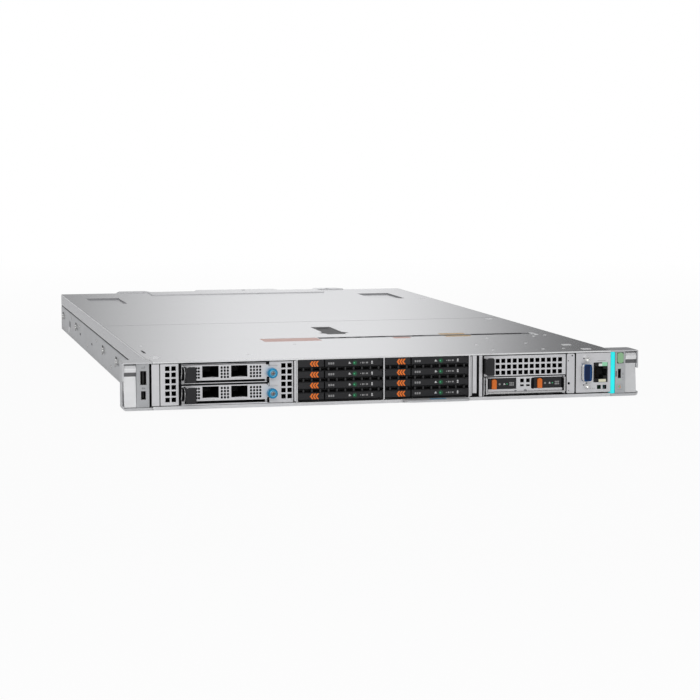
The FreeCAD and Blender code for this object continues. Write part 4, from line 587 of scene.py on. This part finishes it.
def along(path, loop_radius, steps=10, flat=1.0):
    """Tube along a path of points: at each point a circle stands square to the path's direction.
    Its first side lies in the plane square to the path and to a fixed upright."""
    path = np.asarray(path, float)
    ahead = np.gradient(path, axis=0)
    ahead /= np.linalg.norm(ahead, axis=1, keepdims=True)
    upright = np.array([0.02, 1.0, 0.03])
    side = np.cross(ahead, upright)
    side /= np.linalg.norm(side, axis=1, keepdims=True)
    other = np.cross(side, ahead)
    turns = np.arange(steps)[:, None] * 2 * math.pi / steps
    ring = side[:, None] * np.cos(turns) * loop_radius + other[:, None] * np.sin(turns) * loop_radius * flat
    return skin(path[:, None] + ring)


def curve_through(points, count=40):
    """Smooth line through points: each stretch blends its ends and slopes as a cubic does."""
    points = np.asarray(points, float)
    where = np.linspace(0, len(points) - 1.000001, count)
    k = where.astype(int)
    t = (where - k)[:, None]
    slopes = np.gradient(points, axis=0)
    return (
        (2 * t**3 - 3 * t**2 + 1) * points[k]
        + (t**3 - 2 * t**2 + t) * slopes[k]
        + (3 * t**2 - 2 * t**3) * points[k + 1]
        + (t**3 - t**2) * slopes[k + 1]
    )


hole_pitch = 2.8
hole_columns = [-175.1, -172.9]
hole_columns += [-152.3 + hole_pitch * k for k in range(3)] + [-125.8 + hole_pitch * k for k in range(4)]
cage_mouths = (-169.8, -143.8)
wire_paths = (
    (0.38, ((-188.3, -0.8, 12.6), (-188.8, -4.5, 11.8), (-189.2, -7.0, 8.0), (-189.3, -5.0, 3.5),
            (-188.6, -1.0, 1.6))),
    (0.34, ((-187.2, -0.6, 13.2), (-187.3, -9.0, 12.9), (-187.4, -13.6, 9.6), (-187.5, -12.0, 3.0),
            (-187.2, -1.0, 1.0))),
)
for place in ("lower", "upper"):
    body = "network_card_" + place
    foot = extent(body)[0][2]
    front = face + 1.0
    centres, normals = faces_at(nodes[body])
    across, depth, height = centres.T
    is_tab = (depth < front - 0.05) & (across < -175)
    is_board = (depth > front + 1.25) & (height < foot + 2.3)
    # Faces behind the front take the painted shade.
    is_inside = ((depth > front + 0.02) & (normals[:, 1] > -0.5)) | (depth > front + 1.0)
    picks = np.select([is_tab, is_board, is_inside], [1, 2, 3], 0)
    finish(nodes[body], [card_face_steel, pull_plastic, board_mask, painted_shade_cage], picks)
    loops = [along(curve_through(np.array(path) + (0, front, foot)), radius) for radius, path in wire_paths]
    fixed("pull_wire_" + place, together(loops), wire_steel, body, smooth=True)
    lips = []
    for mouth in cage_mouths:
        lip_x = np.linspace(mouth + 3.6, mouth + 13.0, 20)
        rise = 0.12 + 0.16 * np.sin((lip_x - mouth) * 0.9)
        lips.append(along(np.stack([lip_x, np.full(20, front + 1.5), foot + 3.0 + rise], -1), 0.32, 8, 1.6))
        lips.append(bar(mouth + 3.0, mouth + 11.5, foot + 1.2, foot + 1.6, front, 0.2))
    fixed("cage_lips_" + place, together(lips), wire_steel, body, smooth=True)
    # Painted shade: dark discs over the face's holes and a dark strip by the pull tab.
    holes = [
        raised(circle(x, foot + 3.1 + hole_pitch * row, 1.08, 8), front, 0.03, "-y", 0.01)
        for x in hole_columns for row in range(4)
    ]
    holes.append(strip(-188.3, -185.2, foot + 0.4, foot + 13.5, front, 0.8))
    fixed("card_holes_" + place, together(holes), painted_shade_black, body)

# Captive screws: knurled blue aluminium round a pale blue bead and a steel driver insert.
blue_anodised, tree, shader, where = blank("blue_anodised", (0.02, 0.33, 0.62), 0.55, 0.30)
sheen = node(tree, "ShaderNodeTexNoise", {"Vector": where, "Scale": 700.0, "Detail": 3.0}).outputs["Fac"]
tinted(tree, shader, sheen, (0.02, 0.33, 0.62), 0.12)
bumped(tree, shader, sheen, 0.08, 0.0001)
pale_blue = plated("pale_blue", (0.28, 0.68, 0.86), 0.3)


def knurled(radius, grooves, depth, profile, centre, steps=168):
    """Turned knob whose radius dips by a rounded groove at even turns wherever the profile asks."""
    profile = np.asarray(profile, float)
    turns = np.arange(steps) * 2 * math.pi / steps
    wave = np.abs(np.sin(turns * grooves / 2)) ** 0.6
    reach = profile[:, 1:2] * radius - (1 - wave) * depth * profile[:, 2:3]
    length = np.repeat(profile[:, :1], steps, 1)
    rings = np.stack([reach * np.cos(turns), length, reach * np.sin(turns)], -1)
    return skin(rings + np.asarray(centre, float))


knob_profile = [
    (7.6, 0.30, 0), (7.6, 0.86, 0), (7.3, 0.92, 0), (6.9, 0.98, 1), (2.0, 1.0, 1),
    (1.3, 0.98, 1), (0.9, 0.93, 0), (0.35, 0.90, 0), (0.0, 0.84, 0), (0.0, 0.66, 0),
    (0.25, 0.60, 0), (0.25, 0.42, 0), (0.5, 0.38, 0), (0.5, 0.2, 0),
]
insert_profile = [(0.55, 1.75), (-0.05, 1.70), (-0.2, 1.5), (-0.2, 0.8), (0.1, 0.7), (0.1, 0.2)]
bead_profile = [(0.3, 2.85), (-0.08, 2.8), (-0.16, 2.6), (-0.08, 2.35), (0.3, 2.3)]
for place in ("lower", "upper"):
    body = "card_screw_" + place
    low, high = extent(body)
    at = ((low[0] + high[0]) / 2, low[1], (low[2] + high[2]) / 2)
    knob = knurled(4.7, 22, 0.35, knob_profile, at)
    knob_piece = fixed("screw_knob_" + place, knob, blue_anodised, body, smooth=True)
    insert = lathed(insert_profile, at, "y", 32)
    fixed("screw_insert_" + place, insert, wire_grey, body, smooth=True)
    bead = lathed(bead_profile, at, "y", 32)
    fixed("screw_bead_" + place, bead, pale_blue, body, smooth=True)
    shank = lathed([(7.4, 1.75), (17.6, 1.75), (18.2, 1.3), (18.6, 0.3)], at, "y", 20)
    fixed("screw_shank_" + place, shank, bright_plate, body, smooth=True)
    # Painted shade: a dark cross in the screw's recess.
    x, z, recess = at[0], at[2], at[1] - 0.18
    cross = [
        bar(x - 0.38, x + 0.38, z - 1.35, z + 1.35, recess, 0.15, height=0.08),
        bar(x - 1.35, x + 1.35, z - 0.38, z + 0.38, recess, 0.15, height=0.09),
    ]
    fixed("screw_cross_" + place, together(cross), painted_shade_ink, body)
    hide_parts(body)

# ---- Drive cage ---------------------------------------------------------------------------
# Folded steel walls and shelves; a comb of small grey ribs stands in front of each shelf.

cage_steel = zinc_sheet("cage_steel", (0.78, 0.78, 0.79), 0.45, 0.36, grain=(900, 900, 12))
painted_shade_drive_cage = zinc_sheet("painted_shade_drive_cage", (0.006, 0.006, 0.007), 0.0, 0.7)
rib_grey = moulded("rib_grey", (0.050, 0.050, 0.052), 0.55)
cage_wall = 1.2
rib_pitch = 7.75
row_feet = (4.7, 14.5, 24.3)
cage = nodes["drive_cage"]
centres, normals = faces_at(cage)
low, high = extent("drive_cage")
walls = [low[0] + cage_wall / 2, (low[0] + high[0]) / 2, high[0] - cage_wall / 2]
on_wall = np.min([np.abs(centres[:, 0] - wall) for wall in walls], axis=0) < 0.75
# Painted shade: every face of the cage but the front edges of its walls is near black.
lit = on_wall & (centres[:, 1] < face + 2.0)
finish(cage, [cage_steel, painted_shade_drive_cage], ~lit)
for number, left in ((1, low[0] + cage_wall), (2, walls[1] + cage_wall / 2)):
    ribs = [
        raised(rounded(x, x + 1.5, foot + 6.9, foot + 9.9, 0.3, 2), face + 2.9, 2.4, "-y", 0.3)
        for foot in row_feet for x in left + 4.6 + rib_pitch * np.arange(10)
    ]
    fixed("shelf_ribs_%d" % number, together(ribs), rib_grey, "chassis")

# ---- Drives -------------------------------------------------------------------------------
# Each carrier is charcoal plastic with a hinged handle and a press button; orange arrowheads,
# a blank label, a lamp and small index marks are printed on the front.

charcoal = moulded("charcoal", (0.024, 0.024, 0.026), 0.52)
drive_case = zinc_sheet("drive_case", (0.05, 0.05, 0.052), 0.6, 0.5)
# Painted glow: the orange arrowhead ink glows a little, though it is no lamp.
orange_ink_painted_glow = glowing("orange_ink_painted_glow", (0.90, 0.20, 0.02), 0.10)
lamp_glow = glowing("lamp_glow", (0.010, 0.085, 0.036), 0.12)
grey_white = printed("grey_white", (0.34, 0.34, 0.34))
pale_white = printed("pale_white", (0.66, 0.66, 0.66))


def arrowhead(x, z, width, rise, stroke):
    """Loop of a left-pointing arrowhead: its tip, then the two arms drawn back by the stroke."""
    lower = [(x, z), (x + width, z - rise), (x + width + stroke, z - rise)]
    upper = [(x + stroke, z), (x + width + stroke, z + rise), (x + width, z + rise)]
    return np.array(lower + upper)[::-1]


def mark_loop(x, z, corners):
    """Loop of a small mark from its corners, measured from a point on the face."""
    return np.array([(x + across, z + up) for across, up in corners])[::-1]


sign_corners = ((46.6, -0.9), (49.3, -0.5), (48.3, 0.1), (47.9, 1.1), (46.9, 0.9))
index_spans = ((57.4, 58.1, 0.5), (59.0, 60.7, 0.7), (61.4, 62.0, 0.7), (62.9, 64.6, 0.7))
bezel_profile = [(0.05, 2.1), (-0.05, 2.05), (-0.07, 1.3), (-0.03, 0.2)]
lamp_profile = [(0.05, 0.62), (-0.16, 0.58), (-0.26, 0.2)]
for n in range(1, 9):
    drive, body, button = "drive_%d" % n, "drive_handle_%d" % n, "drive_button_%d" % n
    centres, normals = faces_at(nodes[drive])
    finish(nodes[drive], [charcoal, drive_case], centres[:, 1] > face + 9.6)
    finish(nodes[body], [charcoal])
    finish(nodes[button], [charcoal])
    low, high = extent(button)
    front, middle, start = low[1], (low[2] + high[2]) / 2, low[0] - 0.3
    heads = [arrowhead(start + 10.9 + 2.45 * k, middle, 1.7, 2.5, 1.6) for k in range(3)]
    heads = together([slab(head, front + 0.02, 0.14) for head in heads])
    fixed("arrowheads_%d" % n, heads, orange_ink_painted_glow, button)
    label = [bar(start + x, start + x + 1.5, middle - 0.95, middle + 0.95, front) for x in (27.8, 29.8, 31.8)]
    index = [
        bar(start + x0, start + x1, middle - half, middle + half, front, 0.2) for x0, x1, half in index_spans
    ]
    fixed("front_marks_%d" % n, together(label + index), grey_white, body)
    signs = [
        slab(mark_loop(start, middle, sign_corners), front + 0.02, 0.1),
        dot(start + 68.4, middle + 0.75, 0.8, front, 14),
        bar(start + 67.6, start + 69.2, middle - 1.2, middle - 0.2, front, 0.25),
    ]
    fixed("front_signs_%d" % n, together(signs), pale_white, body)
    bezel = lathed(bezel_profile, (start + 52.4, front, middle), "y", 24)
    lamp = lathed(lamp_profile, (start + 51.9, front, middle), "y", 18)
    fixed("lamp_bezel_%d" % n, bezel, lamp_glow, body, smooth=True)
    fixed("lamp_%d" % n, lamp, green_light, body, smooth=True)

# ---- Boot drive module --------------------------------------------------------------------
# A small steel box with two black carriers, each with an orange latch, and a wire pull loop.

boot = nodes["boot_module_frame"]
depth = faces_at(boot)[0][:, 1]
picks = np.select([depth < face + 0.55, depth > face + 7], [1, 2], 0)
finish(boot, [front_steel, wire_steel, shaded_steel], picks)
latch_orange = moulded("latch_orange", (0.85, 0.20, 0.03), 0.4)
boot_corners = ((14.2, -0.8), (16.4, -0.5), (15.6, 0.1), (15.4, 1.0), (14.5, 0.8))
for place in ("left", "right"):
    body = "boot_carrier_" + place
    low, high = extent(body)
    finish(nodes[body], [charcoal, board_mask], faces_at(nodes[body])[0][:, 1] > low[1] + 6.4)
    finish(nodes["boot_latch_" + place], [latch_orange])
    front, middle, start = low[1], (low[2] + high[2]) / 2 - 0.6, low[0]
    blank_label = [
        strip(start + 20.0 + 1.5 * k, start + 21.2 + 1.5 * k, middle + z, middle + z + 1.5, front, 0.3)
        for k in range(3) for z in (-1.7, 0.2)
    ]
    mark = [dot(start + 10.6, middle, 0.95, front)]
    fixed("boot_marks_" + place, together(blank_label + mark), grey_white, body)
    sign = slab(mark_loop(start, middle, boot_corners), front + 0.02, 0.1)
    fixed("boot_sign_" + place, sign, pale_white, body)
    lamp = lathed([(0.05, 0.55), (-0.2, 0.5), (-0.3, 0.2)], (start + 17.7, front, middle), "y", 16)
    fixed("boot_lamps_" + place, lamp, green_light, body, smooth=True)

# Painted shade: black frames and strips round the two carriers and at the module's edges.
boot_gaps = [
    frame_round(95.4, 122.6, 9.4, 20.4, face + 0.95, 0.1, 0.4, 0.3),
    frame_round(139.4, 166.6, 9.4, 20.4, face + 0.95, 0.1, 0.4, 0.3),
    strip(92.0, 93.0, 4.6, 20.6, face + 0.5, 0.2), strip(94.6, 95.2, 7.0, 20.6, face + 0.5, 0.2),
    strip(167.0, 167.6, 7.0, 20.6, face + 0.5, 0.2), strip(169.6, 170.8, 4.6, 20.6, face + 0.5, 0.2),
    strip(95.0, 167.0, 4.7, 5.2, face + 0.55, 0.2),
    raised(rounded(136.6, 140.2, 9.0, 19.6, 1.7, 5), face + 0.9, 0.12, "-y", 0.04),
]
fixed("boot_gaps", together(boot_gaps), painted_shade_black, "chassis")
hex_marks = [
    raised(circle(131.2, 7.4, 1.7, 6), face + 0.6, 0.10, "-y", 0.05),
    strip(120.6, 122.8, 7.0, 8.4, face + 0.6, 0.3),
]
fixed("module_marks", together(hex_marks), grey_ink, "chassis")

# ---- Sockets ------------------------------------------------------------------------------
# The display socket has a drawn steel shell round a blue insert, between two hexagonal screw
# posts; the network socket is black with lit windows and gold contacts.

blue_insert = moulded("blue_insert", (0.006, 0.075, 0.26), 0.5)
# Painted shade: a darker copy of the blue insert for the socket's mouth.
painted_shade_navy = moulded("painted_shade_navy", (0.001, 0.016, 0.075), 0.5)
black_jack = moulded("black_jack", (0.014, 0.014, 0.014), 0.5)
ports = nodes["port_connectors"]
across, depth, height = faces_at(ports)[0].T
display_x, socket_z = 190.2, 23.0
display = np.abs(across - display_x) < 7.0
core = (np.abs(across - display_x) < 3.9) & (np.abs(height - socket_z) < 7.9) & (depth < face + 1.6)
jack = (across > 196.5) & (across < 212.0)
finish(ports, [bright_plate, blue_insert, black_jack], np.select([core, jack, display], [1, 2, 0], 2))
# Painted shade: the display contacts are dark pins.
pin_profile = [(0.05, 0.55), (-0.05, 0.5), (0.02, 0.3), (0.3, 0.2)]
pin_places = [
    (display_x + 1.9 * column, face - 4.4, socket_z + 2.3 * row + 0.8 * (column % 2))
    for column in (-1, 0, 1) for row in (-2, -1, 0, 1, 2)
]
pins = [lathed(pin_profile, spot, "y", 12) for spot in pin_places]
fixed("display_contacts", together(pins), painted_shade_ink, "chassis", smooth=True)
contacts = []
for k in range(8):
    z = 22.6 + (k - 3.5) * 1.02
    bends = [(198.7, face + 1.6, z), (200.0, face + 3.2, z), (202.4, face + 7.0, z), (199.4, face + 11.6, z)]
    contacts.append(along(curve_through(bends, 12), 0.2, 6))
fixed("network_contacts", together(contacts), gold_plate, "chassis", smooth=True)
window_green = glowing("window_green", (0.30, 0.66, 0.42), 0.2)
window_cream = glowing("window_cream", (0.80, 0.78, 0.58), 0.1)
window_white = glowing("window_white", (0.78, 0.82, 0.80), 0.1)
windows = (
    ("upper_window", 205.8, 210.9, 28.4, 32.0, window_green),
    ("upper_lens", 202.4, 206.0, 28.4, 30.8, window_white),
    ("lower_window", 202.4, 209.6, 13.6, 16.2, window_cream),
)
for name, x0, x1, z0, z1, glow in windows:
    lens = raised(rounded(x0, x1, z0, z1, 0.3, 3), face + 0.55, 0.2, "-y", 0.08)
    fixed(name, lens, glow, "chassis")
# Painted shade: the deep mouth of the display socket in dark navy.
mouth = bar(187.2, 192.3, 16.0, 30.0, face - 4.4, 1.6, 4)
fixed("display_mouth", mouth, painted_shade_navy, "chassis")
shell_rim = frame_round(186.2, 194.2, 15.1, 30.9, face - 4.5, 1.2, 0.75, 1.9)
fixed("display_rim", shell_rim, bright_plate, "chassis")
# Painted shade: dark spots on the hexagonal posts.
post_spots = [
    raised(circle(display_x + dx, z + dz, 0.75, 10), face + 0.4, 0.05, "-y", 0.02)
    for z in (10.6, 35.4) for dx, dz in ((-2.4, 0.6), (1.2, -2.2), (0.2, 2.3))
]
fixed("post_spots", together(post_spots), painted_shade_ink, "chassis")
# Painted shade: dark spots on the bracket.
bracket_spots = [
    raised(circle(x, z, radius, 12), face + 0.4, 0.05, "-y", 0.02)
    for x, z, radius in ((173.2, 13.2, 1.15), (172.6, 34.2, 0.55), (176.4, 38.9, 0.7), (173.4, 6.4, 0.55))
]
fixed("bracket_spots", together(bracket_spots), painted_shade_black, "chassis")
port_marks = [
    raised(rounded(x0, x1, z - 0.3, z + 0.3, 0.2, 3), face + 0.4, 0.05, "-y", 0.02)
    for x0, x1, z in ((193.8, 195.0, 7.9), (195.8, 197.6, 7.9), (198.2, 199.2, 7.9), (201.0, 209.0, 33.4))
]
fixed("port_marks", together(port_marks), pale_ink, "chassis")

# ---- Information tag ----------------------------------------------------------------------
# A thin pale plastic slide under the right-hand bay, with one blank blue patch.

tag_plastic = moulded("tag_plastic", (0.62, 0.63, 0.64), 0.38)
finish(nodes["info_tag"], [tag_plastic])
low, high = extent("info_tag")
patch = raised(rounded(38.5, 53.5, low[1] + 5.0, low[1] + 12.5, 0.6, 3), high[2], 0.06, "+z", 0.03)
fixed("tag_patch", patch, printed("tag_blue", (0.20, 0.42, 0.62)), "info_tag")

# ---- Fans ---------------------------------------------------------------------------------
# Seven black glass-filled fans in a row behind the drives.

fan_plastic = moulded("fan_plastic", (0.022, 0.022, 0.024), 0.45)
finish(nodes["fan_frames"], [fan_plastic])
for n in range(1, 8):
    finish(nodes["fan_rotor_%d" % n], [moulded("rotor_plastic_%d" % n, (0.03, 0.03, 0.033), 0.36)])

# ---- Boards -------------------------------------------------------------------------------
# Green solder-masked boards with processors under finned aluminium sinks and banks of memory.

finish(nodes["circuit_boards"], [board_mask])
sink_metal = zinc_sheet("sink_metal", (0.72, 0.73, 0.74), 0.95, 0.3, grain=(900, 12, 900))
finish(nodes["heat_sinks"], [sink_metal])
memory_mask = moulded("memory_mask", (0.010, 0.07, 0.05), 0.36, 900.0, 0.05)
finish(nodes["memory_modules"], [memory_mask])

# ---- Power supplies -----------------------------------------------------------------------
# Two slide-in supplies with a pierced rear, a recessed mains inlet, a pull handle and an orange tab.

supply_steel = zinc_sheet("supply_steel", (0.58, 0.585, 0.59), 0.85, 0.36)
tab_orange = moulded("tab_orange", (0.75, 0.20, 0.04), 0.42)
handle_black = moulded("handle_black", (0.03, 0.03, 0.032), 0.42)
for place in ("left", "right"):
    body = "power_supply_" + place
    across, depth, height = np.abs(faces_at(nodes[body])[0]).T
    back = extent(body)[1][1] - 24.0
    proud = depth > back + 0.05
    tab = proud & (height < 22)
    behind_rim = (depth > back - 16.5) & (depth < back - 0.05)
    in_mouth = (across > 148.2) & (across < 176.2) & (height > 9.2) & (height < 29.8)
    picks = np.select([tab, proud | (behind_rim & in_mouth)], [2, 1], 0)
    finish(nodes[body], [supply_steel, handle_black, tab_orange], picks)

# ---- Studio -------------------------------------------------------------------------------
# Plain white floor and soft light; the camera looks down a little from the front left.

floor_mesh = bpy.data.meshes.new("floor")
reach = 14.0
floor_corners = [(-reach, -reach, 0), (reach, -reach, 0), (reach, reach, 0), (-reach, reach, 0)]
floor_mesh.from_pydata(floor_corners, [], [(0, 1, 2, 3)])
floor = bpy.data.objects.new("floor", floor_mesh)
floor.location.z = -0.0005
bpy.context.scene.collection.objects.link(floor)
material, tree, shader, where = blank("floor_white", (0.86, 0.86, 0.86), 0.0, 0.9)
camera_ray = node(tree, "ShaderNodeLightPath").outputs["Is Camera Ray"]
distance = node(tree, "ShaderNodeVectorMath", {0: where}, operation="LENGTH").outputs["Value"]
limits = {"Value": distance, "From Min": 0.7, "From Max": 2.2, "To Min": 0.93, "To Max": 1.0}
share = node(tree, "ShaderNodeMapRange", limits).outputs["Result"]
seen = node(tree, "ShaderNodeMath", {0: camera_ray, 1: share}, operation="MULTIPLY").outputs[0]
white = node(tree, "ShaderNodeEmission", {"Color": (1, 1, 1, 1), "Strength": 1.0}).outputs[0]
mix = node(tree, "ShaderNodeMixShader", {0: seen, 1: shader.outputs[0], 2: white}).outputs[0]
tree.links.new(mix, tree.nodes["Material Output"].inputs["Surface"])
floor_mesh.materials.append(material)

# The studio's wall, which the lids mirror: bright bands with dark between them behind the server,
# dark to the right, grey at the sides and behind the camera.
world = bpy.data.worlds.new("studio")
bpy.context.scene.world = world
world.use_nodes = True
tree = world.node_tree
sky = tree.nodes["Background"]
direction = node(tree, "ShaderNodeTexCoord").outputs["Object"]
toward = node(tree, "ShaderNodeSeparateXYZ", {"Vector": direction}).outputs
bearing = node(tree, "ShaderNodeMath", {0: toward["X"], 1: toward["Y"]}, operation="ARCTAN2").outputs[0]
limits = {"Value": bearing, "From Min": -math.pi, "From Max": math.pi}
turn = node(tree, "ShaderNodeMapRange", limits).outputs["Result"]
wall = node(tree, "ShaderNodeValToRGB", {"Fac": turn})
stops = ((-180, 0.60), (-95, 0.70), (-60, 0.75), (-20, 0.30), (-9, 0.25), (-6, 0.75), (-3, 0.85), (0, 0.20),
         (4.5, 0.12), (8, 0.66), (10, 0.98), (14.5, 1.0), (16.5, 0.62), (18, 0.16), (20, 0.02), (30, 0.02),
         (45, 0.25), (80, 0.55), (180, 0.60))
elements = wall.color_ramp.elements
while len(elements) < len(stops):
    elements.new(0.5)
for element, (degrees, tone) in zip(elements, stops):
    element.position = degrees / 360 + 0.5
    element.color = (tone, tone, tone * 1.01, 1)
limits = {"Value": toward["Z"], "From Min": 0.30, "From Max": 0.70}
ceiling = node(tree, "ShaderNodeMapRange", limits).outputs["Result"]
tones = {"Factor": ceiling, 6: wall.outputs["Color"], 7: (0.42, 0.42, 0.43, 1)}
room = node(tree, "ShaderNodeMix", tones, data_type="RGBA").outputs[2]
tones = {"Factor": node(tree, "ShaderNodeLightPath").outputs["Is Camera Ray"], 6: room, 7: (1, 1, 1, 1)}
backdrop = node(tree, "ShaderNodeMix", tones, data_type="RGBA").outputs[2]
tree.links.new(backdrop, sky.inputs["Color"])
sky.inputs["Strength"].default_value = 1.0


def soft_light(name, place, target, size, power):
    """Square soft lamp that faces its target."""
    lamp = bpy.data.lights.new(name, "AREA")
    lamp.shape = "RECTANGLE"
    lamp.size, lamp.size_y = size
    lamp.energy = power
    obj = bpy.data.objects.new(name, lamp)
    away = np.asarray(place, float) - np.asarray(target, float)
    away /= np.linalg.norm(away)
    side = np.cross((0, 0, 1), away)
    side /= np.linalg.norm(side)
    pose = np.column_stack([side, np.cross(away, side), away, place])
    obj.matrix_world = Matrix(np.vstack([pose, (0, 0, 0, 1)]).tolist())
    bpy.context.scene.collection.objects.link(obj)


soft_light("front_lamp", (-0.6, -2.6, 0.9), (0.0, 0.0, 0.0), (2.2, 1.2), 16)
soft_light("top_lamp", (-0.2, 0.5, 2.6), (0.0, 0.35, 0.0), (1.3, 1.3), 9)

camera_data = bpy.data.cameras.new("camera")
camera_data.sensor_width = 36.0
camera_data.lens = 108.989
camera_data.clip_end = 60.0
camera = bpy.data.objects.new("camera", camera_data)
swing, dip, roll = -0.231249, 0.103555, -0.000766
aim = Matrix.Rotation(swing, 4, "Z") @ Matrix.Rotation(math.pi / 2 - dip, 4, "X")
aim = aim @ Matrix.Rotation(roll, 4, "Z")
camera.matrix_world = Matrix.Translation((-0.470923, -1.876453, 0.246984)) @ aim
bpy.context.scene.collection.objects.link(camera)
bpy.context.scene.camera = camera
bpy.context.scene.view_settings.view_transform = "Standard"
